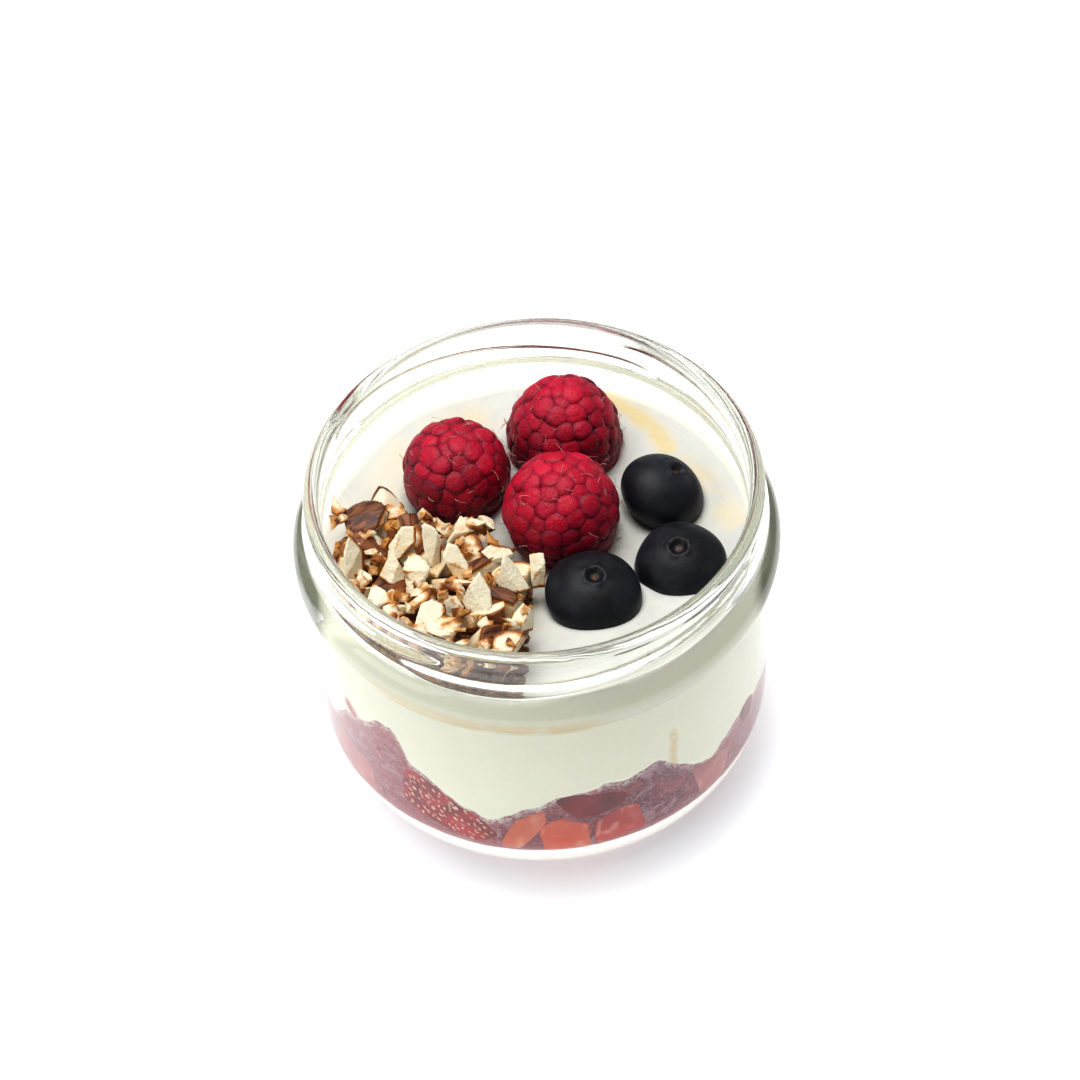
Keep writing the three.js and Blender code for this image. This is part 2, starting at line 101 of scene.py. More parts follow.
def piece(name, points, faces, material=None):
    mesh = bpy.data.meshes.new(name)
    mesh.from_pydata((np.asarray(points, float) * MM).tolist(), [], faces)
    work = bmesh.new()
    work.from_mesh(mesh)
    bmesh.ops.recalc_face_normals(work, faces=work.faces)
    work.to_mesh(mesh)
    work.free()
    mesh.polygons.foreach_set("use_smooth", [True] * len(mesh.polygons))
    mesh.update()
    made = bpy.data.objects.new(name, mesh)
    bpy.context.scene.collection.objects.link(made)
    if material:
        mesh.materials.append(material)
    return made


def net(rings):
    """Points and faces of a closed net. Each ring is an array of points, or one point at a pole."""
    points = np.concatenate([np.atleast_2d(ring) for ring in rings])
    faces = []
    start = 0
    for ring, following in zip(rings, rings[1:]):
        count, next_count = len(np.atleast_2d(ring)), len(np.atleast_2d(following))
        after = start + count
        for i in range(max(count, next_count)):
            j = (i + 1) % max(count, next_count)
            if count == 1:
                faces.append((start, after + i, after + j))
            elif next_count == 1:
                faces.append((start + i, after, start + j))
            else:
                faces.append((start + i, after + i, after + j, start + j))
        start = after
    return points, faces


def ring_at(angles, radius, height):
    x, y = round_the_jar(angles, radius)
    return np.stack([x, y, np.broadcast_to(height, x.shape)], axis=-1)


def note(made, name, values, domain="POINT"):
    """Keeps a number for each point or face, for a material to read."""
    made.data.attributes.new(name, "FLOAT", domain).data.foreach_set("value", np.asarray(values, np.float32))


# %% [markdown]
# ## Shader sums as expressions
# A finish is easier to read as a sum than as a web of nodes. `Term` stands for a number that changes over
# the surface. Adding or multiplying terms adds the Math nodes behind them, and `Finish.add` makes every
# other node. Only Base Color, Roughness, Normal and, on the floor, Emission Color get such terms, because
# those survive the export.

# %% The shader kit


class Term:
    def __init__(self, finish, socket):
        self.finish, self.socket = finish, socket

    def maths(self, operation, *others, clamp=False):
        settings = {"operation": operation, "use_clamp": clamp}
        return self.finish.add("Math", settings, dict(enumerate((self, *others))))

    def __add__(self, other):
        return self.maths("ADD", other)

    __radd__ = __add__

    def __mul__(self, other):
        return self.maths("MULTIPLY", other)

    __rmul__ = __mul__

    def __sub__(self, other):
        return self.maths("SUBTRACT", other)

    def __rsub__(self, other):
        return self.finish.add("Math", {"operation": "SUBTRACT"}, {0: other, 1: self})

    def __pow__(self, other):
        return self.maths("POWER", other)

    def ramp(self, low, high):
        """0 at low, 1 at high, eased between them."""
        settings = {"interpolation_type": "SMOOTHSTEP"}
        return self.finish.add("MapRange", settings, {0: self, 1: low, 2: high, 3: 0.0, 4: 1.0})


class Finish:
    """One procedural material, built round a single Principled shader."""

    def __init__(self, name, **constants):
        self.material = bpy.data.materials.new(name)
        self.material.use_nodes = True
        self.tree = self.material.node_tree
        self.shader = self.tree.nodes["Principled BSDF"]
        for socket, value in constants.items():
            self.shader.inputs[socket.replace("_", " ")].default_value = value

    def add(self, kind, settings=None, sockets=None, output=0):
        node = self.tree.nodes.new("ShaderNode" + kind)
        for name, value in (settings or {}).items():
            if name == "stops":
                while len(node.color_ramp.elements) < len(value):
                    node.color_ramp.elements.new(0.5)
                for element, (place, colour) in zip(node.color_ramp.elements, value):
                    element.position, element.color = place, (*colour, 1)
            else:
                setattr(node, name, value)
        for name, value in (sockets or {}).items():
            if isinstance(value, Term):
                self.tree.links.new(value.socket, node.inputs[name])
            else:
                node.inputs[name].default_value = value
        return Term(self, node.outputs[output])

    def place(self):
        return self.add("TexCoord", output="Object")

    def axes(self):
        """x, y and z of a place on the piece, in millimetres."""
        parts = self.add("SeparateXYZ", sockets={0: self.place()}).socket.node
        return [Term(self, parts.outputs[i]) * (1 / MM) for i in range(3)]

    def noise(self, size, detail=3.0, rough=0.5, stretch=None, warp=0.0):
        """Cloudy noise about 0.5, with clouds about size millimetres wide."""
        place = self.place()
        if stretch:
            place = self.add("Mapping", sockets={0: place, 3: stretch})
        looks = {"Scale": 1 / (size * MM), "Detail": detail, "Roughness": rough, "Distortion": warp}
        return self.add("TexNoise", sockets={"Vector": place, **looks})

    def kept(self, name):
        return self.add("Attribute", {"attribute_name": name}, output="Fac")

    def blend(self, amount, first, second):
        """From the first colour to the second one by an amount from 0 to 1."""
        first, second = ((*c, 1) if isinstance(c, tuple) else c for c in (first, second))
        settings = {"data_type": "RGBA", "clamp_factor": True}
        return self.add("Mix", settings, {0: amount, 6: first, 7: second}, output=2)

    def spot(self, x, y, at, reach):
        """1 at a place seen from above, fading to 0 at a distance of reach millimetres."""
        away = ((x - at[0]) ** 2 + (y - at[1]) ** 2) ** 0.5
        return 1 - away.ramp(0.0, reach)

    def stroke(self, x, y, points, width):
        """1 along a line of points seen from above, fading to 0 at a distance of width millimetres."""
        strokes = []
        for (ax, ay), (bx, by) in zip(points, points[1:]):
            dx, dy = bx - ax, by - ay
            along = ((x - ax) * dx + (y - ay) * dy).maths("MULTIPLY", 1 / (dx * dx + dy * dy), clamp=True)
            away = ((x - ax - along * dx) ** 2 + (y - ay - along * dy) ** 2) ** 0.5
            strokes.append(1 - away.ramp(width * 0.15, width))
        total = strokes[0]
        for stroke in strokes[1:]:
            total = total.maths("MAXIMUM", stroke)
        return total

    def set(self, **terms):
        for socket, term in terms.items():
            self.tree.links.new(term.socket, self.shader.inputs[socket.replace("_", " ")])
        return self.material

    def bump(self, height, depth):
        """Relief of a depth in millimetres, for Normal."""
        return self.add("Bump", sockets={"Height": height, "Distance": depth * MM, "Strength": 1.0})


# %% [markdown]
# ## Camera
# The photograph was taken from half above with a long lens. The camera was fitted to the ellipses of the
# rim, the collar and the foot. It leans a little, so the right side of the jar stands higher in the
# picture.

# %% Place the camera
LENS = 100.0
SENSOR = 36.0
CAMERA_AT = (0.533, -331.99, 431.22)
LOOKS_AT = (0.533, 0.0, 45.446)
CAMERA_LEAN = math.radians(-3.191)

camera = bpy.data.objects.new("camera", bpy.data.cameras.new("camera"))
camera.data.lens = LENS
camera.data.sensor_width = SENSOR
camera.data.clip_start = 0.01
aim = (Vector(LOOKS_AT) - Vector(CAMERA_AT)).to_track_quat("-Z", "Y").to_matrix().to_4x4()
camera.matrix_world = Matrix.Translation(Vector(CAMERA_AT) * MM) @ aim @ Matrix.Rotation(CAMERA_LEAN, 4, "Z")
bpy.context.scene.collection.objects.link(camera)
bpy.context.scene.camera = camera

# %% [markdown]
# ## The jar
# A pressed glass jar is one wall turned about its axis: a foot ring, a rounded heel, a nearly straight
# side, a thick collar, and a neck with four thread lugs for a twist lid. Glass shows every kink as a
# bright line, so the outline is first drawn with arcs, then rounded all over as the mould rounds it, and
# only then thinned to rings, which lie close together where it bends. The lugs are relief on the neck and
# not separate bodies, because two glass bodies that cross would show their hidden walls.

# %% Sizes of the jar
JAR_HEIGHT = float(np.array(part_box("glass_jar")[1])[2] / MM)
FOOT_INNER, FOOT_OUTER, PUSH_UP = 27.5, 30.5, 1.3
HEEL_HEIGHT, BODY_LOW, BODY_HIGH = 12.5, 39.5, 40.1
BEAD_RADIUS, BEAD_BOTTOM, BEAD_TOP = 41.3, 43.6, 51.6
NECK, LIP, LIP_MIDDLE = 38.2, 1.3, 37.2
MOUTH = LIP_MIDDLE - LIP
FLOOR, INNER_HEEL, INNER_HEEL_HEIGHT = 5.5, 27.6, 13.6
INSIDE_LOW, INSIDE_HIGH, SHOULDER_LOW, SHOULDER_HIGH = 37.1, 37.4, 44.5, 50.5
LUGS, LUG_START, LUG_ARC, LUG_TAPER, LUG_LEVEL = 4, -37.0, 102.0, 13.0, 0.2
LUG_LOW, LUG_HIGH, LUG_WIDTH, LUG_DEPTH = 52.8, 56.6, 3.4, 1.05
SPOKES = 288


def arc(centre, radii, start, end, steps=24):
    turn = np.radians(np.linspace(start, end, steps + 1))
    return np.stack([centre[0] + radii[0] * np.cos(turn), centre[1] + radii[1] * np.sin(turn)], axis=-1)


def rounded(outline, spacing=0.12, softness=0.35):
    """The outline with even, close points, its corners rounded off. Its two ends stay where they are."""
    steps = np.r_[0, np.cumsum(np.hypot(*np.diff(outline, axis=0).T))]
    along = np.linspace(0, steps[-1], int(steps[-1] / spacing))
    fine = np.stack([np.interp(along, steps, outline[:, k]) for k in (0, 1)], axis=-1)
    reach = int(3 * softness / spacing)
    weights = np.exp(-0.5 * (np.arange(-reach, reach + 1) * spacing / softness) ** 2)
    before = [2 * fine[0] - p for p in fine[reach:0:-1]]
    after = [2 * fine[-1] - p for p in fine[-2 : -reach - 2 : -1]]
    padded = np.concatenate([before, fine, after])
    return np.stack([np.convolve(padded[:, k], weights / weights.sum(), "valid") for k in (0, 1)], axis=-1)


def thinned(outline, length=2.2, bend=7.0, close=()):
    """Keeps a point where the outline has run that many millimetres, or turned that many degrees, since the
    last one. close is a list of (test, length) for stretches that need closer points."""
    heading = np.degrees(np.unwrap(np.arctan2(*np.diff(outline, axis=0).T[::-1])))
    kept, run, turned = [0], 0.0, 0.0
    for i in range(1, len(outline) - 1):
        run += math.dist(outline[i], outline[i - 1])
        turned += abs(heading[i] - heading[i - 1])
        limit = min([length] + [step for test, step in close if test(*outline[i])])
        if run / limit + turned / bend >= 1:
            kept.append(i)
            run = turned = 0.0
    return outline[kept + [len(outline) - 1]]


def jar_outline():
    half = (BEAD_TOP - BEAD_BOTTOM) / 2
    out = BEAD_RADIUS - NECK
    meets = -math.degrees(math.acos((BODY_HIGH - NECK) / out))
    stretches = [
        [(0, PUSH_UP), (FOOT_INNER - 4, PUSH_UP), (FOOT_INNER, 0)],
        arc((FOOT_OUTER, HEEL_HEIGHT), (BODY_LOW - FOOT_OUTER, HEEL_HEIGHT), -90, 0),
        [(BODY_HIGH, BEAD_BOTTOM)],
        arc((NECK, BEAD_BOTTOM + half), (out, half), meets, 90),
        [(NECK, JAR_HEIGHT - 2 * LIP)],
        arc((LIP_MIDDLE, JAR_HEIGHT - LIP), (LIP, LIP), 0, 180),
        [(MOUTH, SHOULDER_HIGH), (INSIDE_HIGH, SHOULDER_LOW)],
        arc((INNER_HEEL, INNER_HEEL_HEIGHT), (INSIDE_LOW - INNER_HEEL, INNER_HEEL_HEIGHT - FLOOR), 0, -90),
        [(0, FLOOR)],
    ]
    return rounded(np.concatenate([np.asarray(s, float) for s in stretches]))


OUTLINE = jar_outline()
LIP_POINT = int(np.argmax(OUTLINE[:, 1]))
WALL_INSIDE = OUTLINE[LIP_POINT:][::-1]


def inside_radius(height):
    """Radius of the inside of the wall at a height over the bottom."""
    upright = WALL_INSIDE[WALL_INSIDE[:, 0] > INNER_HEEL]
    return np.interp(height, upright[:, 1], upright[:, 0])


def lug_relief(angle, height):
    """How far the lugs stand out of the neck. Each rises to the right and starts under the last one's end."""
    relief = np.zeros(np.broadcast(angle, height).shape)
    for lug in range(LUGS):
        along = (angle - LUG_START - 360 / LUGS * lug) % 360
        end = np.clip(np.minimum(along, LUG_ARC - along) / LUG_TAPER, 1e-3, 1)
        taper = np.sqrt(1 - (1 - end) ** 2)
        middle = mix(LUG_LOW, LUG_HIGH, smooth(LUG_ARC * LUG_LEVEL, LUG_ARC, along))
        across = np.clip(np.abs(height - middle) / (LUG_WIDTH / 2 * taper), 0, 1)
        bump = LUG_DEPTH * taper * (0.5 + 0.5 * np.cos(np.pi * across)) ** 0.6
        relief = np.maximum(relief, np.where(along < LUG_ARC, bump, 0))
    return relief


def on_neck(r, z):
    return r > NECK - 0.3 and BEAD_TOP - 0.6 < z < JAR_HEIGHT - LIP


def at_lip(r, z):
    return z > JAR_HEIGHT - 2.5 * LIP


def glass_jar(material):
    outline = thinned(OUTLINE, close=[(on_neck, 0.28), (at_lip, 0.6)])
    angles = np.arange(SPOKES) * 360 / SPOKES
    rings = []
    for r, z in outline:
        if r < 1e-6:
            rings.append(np.array([[0, 0, z]]))
            continue
        outside = r > NECK - 0.5 and z > BEAD_TOP - 1
        rings.append(ring_at(angles, r + (lug_relief(angles, z) if outside else 0 * angles), z))
    points, faces = net(rings)
    return piece("jar_of_clear_glass", points, faces, material)


# %% [markdown]
# ## Clear glass
# One Principled shader with full transmission bends and mirrors the light as soda-lime glass does. Its
# faint green is stronger where the wall is seen at a slant. Three places of the jar get more: the lip is
# olive, partly the green of much glass behind it and partly a painted reflection of dark surroundings;
# the left and right of the collar are painted nearly black, a painted reflection of a room with dark
# sides in the thick bead; and the underside of the foot is stippled, which keeps the fruit's red out of
# the heel. The masks for them are places on the jar, so they turn with it. Pressed glass is never quite
# flat, so a slow, shallow waviness bends its normals.

# %% Finish of the jar
CLEAR, SLANT_GREEN = (0.945, 0.96, 0.93), (0.62, 0.66, 0.55)
# the lip's olive is partly glass green and partly painted reflection; the collar's near black is painted
# reflection
LIP_OLIVE_AND_REFLECTION, COLLAR_PAINTED_REFLECTION = (0.30, 0.33, 0.27), (0.028, 0.032, 0.022)
STIPPLE_INNER, STIPPLE_OUTER = 22.0, 24.0  # radii between which the stipple of the foot sets in
STIPPLE_LOW, STIPPLE_HIGH = 0.15, 0.7  # and the heights over which it fades
COLLAR_SIDES = (34.5, 37.0)  # how far to the left and right the collar turns dark
COLLAR_FRONT = (4.0, 14.0)  # and how far back it stays dark


def clear_glass():
    finish = Finish("clear_glass", IOR=1.5, Specular_IOR_Level=0.4, Transmission_Weight=1.0)
    waves = finish.noise(9.0, detail=1.0) + 0.4 * finish.noise(3.0, detail=1.0, stretch=(1, 1, 2.5))
    slant = finish.add("LayerWeight", sockets={"Blend": 0.5}, output="Facing")
    x, y, z = finish.axes()
    radius = (x * x + y * y) ** 0.5
    outward = radius.ramp(LIP_MIDDLE - 0.6, LIP_MIDDLE + 1.0)
    lip = z.ramp(JAR_HEIGHT - 3.0, JAR_HEIGHT - 1.2) * (1 - outward * 0.7)
    collar = z.ramp(BEAD_BOTTOM + 1.6, BEAD_BOTTOM + 3.6) * (1 - z.ramp(BEAD_TOP - 0.3, BEAD_TOP + 0.4))
    outer_face = radius.ramp(NECK + 0.5, NECK + 1.0)
    # where the collar's painted dark reflection lies
    collar_painted_reflection = collar * outer_face * ((x * x) ** 0.5).ramp(*COLLAR_SIDES) * (1 - y.ramp(*COLLAR_FRONT))
    stippled = (1 - z.ramp(STIPPLE_LOW, STIPPLE_HIGH)) * radius.ramp(STIPPLE_INNER, STIPPLE_OUTER)
    colour = finish.blend(slant.ramp(0.62, 1.0), CLEAR, SLANT_GREEN)
    # painted reflection of dark surroundings on the lip and on the collar's sides
    colour = finish.blend(lip * 0.7, colour, LIP_OLIVE_AND_REFLECTION)
    colour = finish.blend(collar_painted_reflection * 0.95, colour, COLLAR_PAINTED_REFLECTION)
    relief = waves + finish.noise(0.4) * stippled * 4
    rough = lip * 0.12 + stippled * 0.6
    return finish.set(Base_Color=colour, Roughness=rough, Normal=finish.bump(relief, 0.05))


jar = glass_jar(clear_glass())
jar.visible_shadow = False
jar.visible_diffuse = False
print("glass jar:", len(jar.data.polygons), "faces")

# %% [markdown]
# ## Where the cream and the fruit lie
# Three height functions carry all that is in the jar: the cream's top, the fruit's top, and the fruit's
# edge against the glass. The cream is low at the back and higher at the front glass, where it was pushed.
# Round each berry it has swelled up a little.

# %% Height functions
REACH = 0.25  # what fills the jar reaches this far into the wall, so that no air shows between them
CREAM_TOP, CREAM_RISE, CREAM_SLOPE, CREAM_SWELL = 43.3, 4.6, 0.025, 0.5
CREAM_LOBE_AT, CREAM_LOBE_HEIGHT, CREAM_LOBE_SPREAD = (10.0, -23.0), 1.3, 70.0
FRUIT_MIDDLE = 20.0

# Height of the fruit's edge against the glass, by angle from the front.
FRUIT_EDGE = np.array(
    [
        (-180, 22), (-158, 26), (-140, 20), (-118, 29), (-100, 22), (-84, 28), (-76, 26), (-68, 20.5),
        (-60, 27.4), (-53.7, 28.5), (-47, 32.9), (-41.5, 33.2), (-39.3, 30.9), (-38, 27.6), (-35.2, 25.5),
        (-28.7, 22.6), (-23.5, 19.7), (-18.4, 17.5), (-14.3, 17.5), (-8, 20.3), (-1.6, 23), (2.2, 24.2),
        (12.3, 25.8), (19.6, 25.9), (25.1, 27), (29.7, 26.9), (34.6, 22.8), (39.9, 19.6), (47.3, 18.1),
        (48.9, 19.3), (53.9, 21.3), (59.9, 22.4), (66.2, 21.2), (74, 20.5), (92, 26), (112, 19), (136, 24),
        (160, 19.5), (180, 22),
    ],
    float,
)

BERRIES = {
    "raspberry_front": {"at": (4.4, 2.0, 50.7), "radius": 10.1, "dome": 9.6, "foot": 8.0, "lean": (-6, -14)},
    "raspberry_left": {"at": (-13.2, 13.8, 48.6), "radius": 9.5, "dome": 8.8, "foot": 6.6, "lean": (-4, -6)},
    "raspberry_back": {"at": (5.7, 22.4, 46.1), "radius": 10.3, "dome": 12.6, "foot": 4.6, "lean": (2, -4)},
    "blueberry_front": {"at": (8.9, -14.9, 48.4), "radius": 8.1, "half": 5.4, "lean": (3, -4)},
    "blueberry_right": {"at": (23.8, -8.2, 46.8), "radius": 7.8, "half": 5.4, "lean": (-4, -6)},
    "blueberry_upper": {"at": (21.9, 8.4, 46.4), "radius": 7.5, "half": 5.8, "lean": (30, 6)},
}


def fruit_edge(angle):
    turn = np.radians(angle)
    wobble = 0.28 * np.sin(turn * 31) + 0.2 * np.sin(turn * 53 + 1)
    wobble = wobble + 0.13 * np.sin(turn * 97 + 4 * np.sin(turn * 7))
    return np.interp(angle, *FRUIT_EDGE.T) + wobble


def fruit_top(x, y):
    out = np.clip(np.hypot(x, y) / INSIDE_LOW, 0, 1)
    return mix(FRUIT_MIDDLE, fruit_edge(angle_of(x, y)), out**2)


def cream_level(x, y):
    """The cream's top before the berries were set on it."""
    rise = CREAM_RISE * smooth(2, -30, y) + CREAM_SLOPE * (x + np.maximum(0, y))
    swells = np.sin(x / 7.5 + 0.8) * np.cos(y / 8.5 - 0.4) + 0.7 * np.sin((x + y) / 5.2)
    away = (x - CREAM_LOBE_AT[0]) ** 2 + (y - CREAM_LOBE_AT[1]) ** 2
    return CREAM_TOP + rise + CREAM_SWELL * swells + CREAM_LOBE_HEIGHT * np.exp(-away / CREAM_LOBE_SPREAD)


def cream_top(x, y):
    pushed = 0
    for berry in BERRIES.values():
        away = np.hypot(x - berry["at"][0], y - berry["at"][1]) - berry["radius"]
        pushed = pushed + 0.55 * np.exp(-((away - 0.8) ** 2) / 3) - 0.8 * smooth(0, -4, away)
    at_glass = 0.5 * np.exp(-(INSIDE_HIGH - np.hypot(x, y)) / 1.1)
    return cream_level(x, y) + pushed + at_glass


# %% [markdown]
# ## The cream and the mash
# Each layer runs through the whole jar. Its side follows the inside of the wall and reaches a little into
# the glass, so that the eye meets the food straight behind the glass, wet and without a gleam of air.

# %% Layers that fill the jar
LAYER_SPOKES = 240


def side_point(angle, height, proud=REACH):
    return ring_at(angle, inside_radius(height) + proud, height)


def layer(name, top, top_edge, low_edge, low, material, rows, proud, rings=46):
    """A closed layer: its top, its side against the glass and its bottom. top and low are heights over x and
    y, and the edges are the heights of the top and the bottom at the wall for each angle."""
    angles = np.arange(LAYER_SPOKES) * 360 / LAYER_SPOKES - 180
    shares = np.linspace(0, 1, rings + 1)[1:-1] ** 0.8
    ring_list = [np.array([[0, 0, float(top(0.0, 0.0))]])]
    for share in shares:
        x, y = round_the_jar(angles, share * inside_radius(top_edge(angles)))
        ring_list.append(np.stack([x, y, top(x, y)], axis=-1))
    for down in np.linspace(0, 1, rows + 1):
        ring_list.append(side_point(angles, mix(top_edge(angles), low_edge(angles), down), proud))
    for share in shares[::-4]:
        x, y = round_the_jar(angles, share * (inside_radius(low_edge(angles)) - 0.4))
        ring_list.append(np.stack([x, y, low(x, y)], axis=-1))
    ring_list.append(np.array([[0, 0, float(low(0.0, 0.0))]]))
    points, faces = net(ring_list)
    return piece(name, points, faces, material)


def edge_of_cream(angle):
    return cream_top(*round_the_jar(angle, INSIDE_HIGH - 0.6))


def flat_bottom(x, y):
    return np.full(np.shape(x), FLOOR - REACH)


def bottom_edge(angle):
    return np.full(np.shape(angle), FLOOR + 0.35)


# %% [markdown]
# ## Mascarpone
# Mascarpone is ivory, smooth and softly shiny. Light enters it and comes out near by, which the
# subsurface share gives. Honey has run over it in a few places. A thin film of honey only tints and
# polishes what is under it, so here it is a mask on the cream: strong at the back right, faint at the
# left, and a pale band at the front side. Where the cream lies against the glass it shows a drip, a dash
# of red juice and a dark speck.

# %% Finish of the cream
# The top's ivory is painted darker than the side's, painted shade that offsets the lamp above.
IVORY, TOP_IVORY_PAINTED_DARKER, CLOUDY_IVORY = (0.90, 0.905, 0.725), (0.68, 0.675, 0.62), (0.85, 0.84, 0.66)
HONEY, THIN_HONEY = (0.78, 0.65, 0.36), (0.79, 0.68, 0.46)
BAND_HONEY, DRIP_HONEY = (0.82, 0.68, 0.38), (0.78, 0.62, 0.36)
JUICE_RED, SPECK_BROWN = (0.45, 0.045, 0.06), (0.28, 0.14, 0.07)
# Places on the top, seen from above.
HONEY_RUN = [(14.0, 32.6), (18.4, 28.8), (21.6, 24.4), (23.4, 20.2)]
HONEY_FAINT = [(26.5, 16.5), (31.0, 9.0), (34.0, 2.5)]
HONEY_PALE = [(-31.5, 3.0), (-28.0, 14.0), (-21.0, 23.0), (-10.0, 29.5)]
SIDE_BAND_LOW, SIDE_BAND_HIGH = 42.5, 44.8
# Places at the glass, as angle from the front and height.
RED_DASH, DARK_SPECK = [(-58.0, 30.0), (-55.4, 28.0)], (31.6, 44.0)
DRIP = [(32.6, 24.0), (32.2, 28.0), (32.7, 31.0), (32.2, 33.0)]


def mascarpone():
    finish = Finish(
        "mascarpone", IOR=1.45, Specular_IOR_Level=0.25, Subsurface_Weight=0.25,
        Subsurface_Radius=(1.0, 0.8, 0.5), Subsurface_Scale=0.0015,
    )
    x, y, z = finish.axes()
    cloud, ripple = finish.noise(6.0, detail=4.0), finish.noise(3.0)
    on_top = z.ramp(41.5, 44.0)
    run = finish.stroke(x, y, HONEY_RUN, 3.0) * (cloud + ripple * 0.6).ramp(0.35, 0.75) * on_top
    faint = finish.stroke(x, y, HONEY_FAINT, 4.0) * 0.75 * cloud.ramp(0.35, 0.65) * on_top
    pale = finish.stroke(x, y, HONEY_PALE, 6.5) * 0.75 * cloud.ramp(0.2, 0.7) * on_top
    band = z.ramp(SIDE_BAND_LOW - 0.5, SIDE_BAND_LOW) * (1 - z.ramp(SIDE_BAND_HIGH, SIDE_BAND_HIGH + 0.7))
    at_side = (0 - y).ramp(22.0, 30.0) * (1 - x.ramp(4.0, 12.0))
    at_wall = ((x * x + y * y) ** 0.5).ramp(INSIDE_LOW - 0.9, INSIDE_LOW + 0.1)
    # painted shade: the top darker than the side against the glass
    colour = finish.blend(at_wall, TOP_IVORY_PAINTED_DARKER, IVORY)
    colour = finish.blend(cloud.ramp(0.3, 0.7) * 0.25, colour, CLOUDY_IVORY)
    colour = finish.blend(faint + pale, colour, THIN_HONEY)
    colour = finish.blend(band * at_side * finish.noise(7.0).ramp(0.25, 0.5) * 0.85, colour, BAND_HONEY)
    angle = finish.add("Math", {"operation": "ARCTAN2"}, {0: x, 1: 0 - y}) * (180 / math.pi)
    drip = finish.stroke(angle, z, DRIP, 1.8) * at_wall * finish.noise(2.0).ramp(0.3, 0.5)
    colour = finish.blend(drip * 0.8, colour, DRIP_HONEY)
    colour = finish.blend(finish.stroke(angle, z, RED_DASH, 2.6) * at_wall * 0.9, colour, JUICE_RED)
    colour = finish.blend(finish.spot(angle, z, DARK_SPECK, 1.0) * at_wall, colour, SPECK_BROWN)
    colour = finish.blend(run, colour, HONEY)
    grain = finish.noise(1.1, detail=4.0) + 2.5 * finish.noise(5.0, detail=2.0)
    return finish.set(Base_Color=colour, Roughness=0.42 - 0.25 * run, Normal=finish.bump(grain, 0.12))


cream = layer(
    "mascarpone_cream_top", cream_top, edge_of_cream, fruit_edge, fruit_top, mascarpone(), 30, REACH, rings=70
)
print("cream:", len(cream.data.polygons), "faces")

# %% [markdown]
# ## Strawberry mash
# Crushed strawberry settles into a mauve purée with pinker patches, dark shreds and pale streaks where
# cream has mixed into it. Its colours change round the jar, so the finish works out the angle from the
# front and blends from one colour to the next along it. Near the cream it is marbled with it. Its
# underside is painted pale, painted light that stands for the bright glass heel.

# %% Finish of the mash
MASH_ROUND = [
    (-180, (0.30, 0.08, 0.10)), (-110, (0.38, 0.13, 0.15)), (-62, (0.38, 0.15, 0.18)),
    (-38, (0.30, 0.085, 0.11)), (-14, (0.22, 0.04, 0.06)), (16, (0.14, 0.022, 0.04)),
    (38, (0.17, 0.04, 0.065)), (58, (0.33, 0.10, 0.13)), (90, (0.36, 0.10, 0.12)),
    (180, (0.30, 0.08, 0.10)),
]


def strawberry_mash():
    finish = Finish("strawberry_mash_wet", Roughness=0.3, IOR=1.4, Specular_IOR_Level=0.1)
    x, y, z = finish.axes()
    angle = finish.add("Math", {"operation": "ARCTAN2"}, {0: x, 1: 0 - y}) * (0.5 / math.pi) + 0.5
    stops = [((turn + 180) / 360, colour) for turn, colour in MASH_ROUND]
    colour = finish.add("ValToRGB", {"stops": stops}, {0: angle})
    patches = finish.noise(4.0, detail=5.0, warp=0.8)
    shreds = finish.noise(1.9, detail=6.0, rough=0.7, stretch=(1, 1, 2.0), warp=1.2)
    grain = finish.noise(0.45, detail=5.0, rough=0.75)
    colour = finish.blend(patches.ramp(0.50, 0.62) * 0.4, colour, (0.52, 0.11, 0.12))
    colour = finish.blend((1 - patches).ramp(0.52, 0.66) * 0.4, colour, (0.60, 0.40, 0.43))
    colour = finish.blend(shreds.ramp(0.53, 0.64) * 0.65, colour, (0.10, 0.008, 0.02))
    colour = finish.blend((1 - shreds).ramp(0.55, 0.66) * 0.5, colour, (0.66, 0.39, 0.41))
    colour = finish.blend(grain.ramp(0.50, 0.62) * 0.42, colour, (0.62, 0.35, 0.37))
    colour = finish.blend((1 - grain).ramp(0.54, 0.64) * 0.35, colour, (0.14, 0.015, 0.03))
    marbled = (1 - finish.kept("under").ramp(0.3, 3.2)) * (shreds + grain * 0.5).ramp(0.66, 0.86)
    colour = finish.blend(marbled * 0.85, colour, (0.84, 0.76, 0.70))
    low = 1 - z.ramp(FLOOR, FLOOR + 7)
    colour = finish.blend(low * 0.3, colour, (0.60, 0.20, 0.20))
    # painted light: a pale underside, for the bright glass heel
    colour = finish.blend((1 - z.ramp(FLOOR - REACH, FLOOR + 0.3)) * 0.9, colour, (0.88, 0.84, 0.82))
    return finish.set(Base_Color=colour, Normal=finish.bump(patches + shreds * 0.5, 0.3))


def mash_top(x, y):
    return fruit_top(x, y) + 0.2


def mash_edge(angle):
    return fruit_edge(angle) + 0.5


mash = layer(
    "strawberry_mash_puree", mash_top, mash_edge, bottom_edge, flat_bottom, strawberry_mash(), 30,
    REACH - 0.06,
)
spots = np.array([v.co for v in mash.data.vertices]) / MM
note(mash, "under", mash_edge(angle_of(spots[:, 0], spots[:, 1])) - spots[:, 2])
print("mash:", len(mash.data.polygons), "faces")

# %% [markdown]
# ## Many copies of a few shapes
# Drupelets, seeds and chopped nuts are a few shapes repeated many times. Python works out where each copy
# goes and writes that down as marks: loose points that carry a turn, a scale, a kind and a tone. A
# Geometry Nodes tree then sets the right shape on each mark. It ends in Realize Instances, because only
# real faces are exported.

# %% Trees of Geometry Nodes


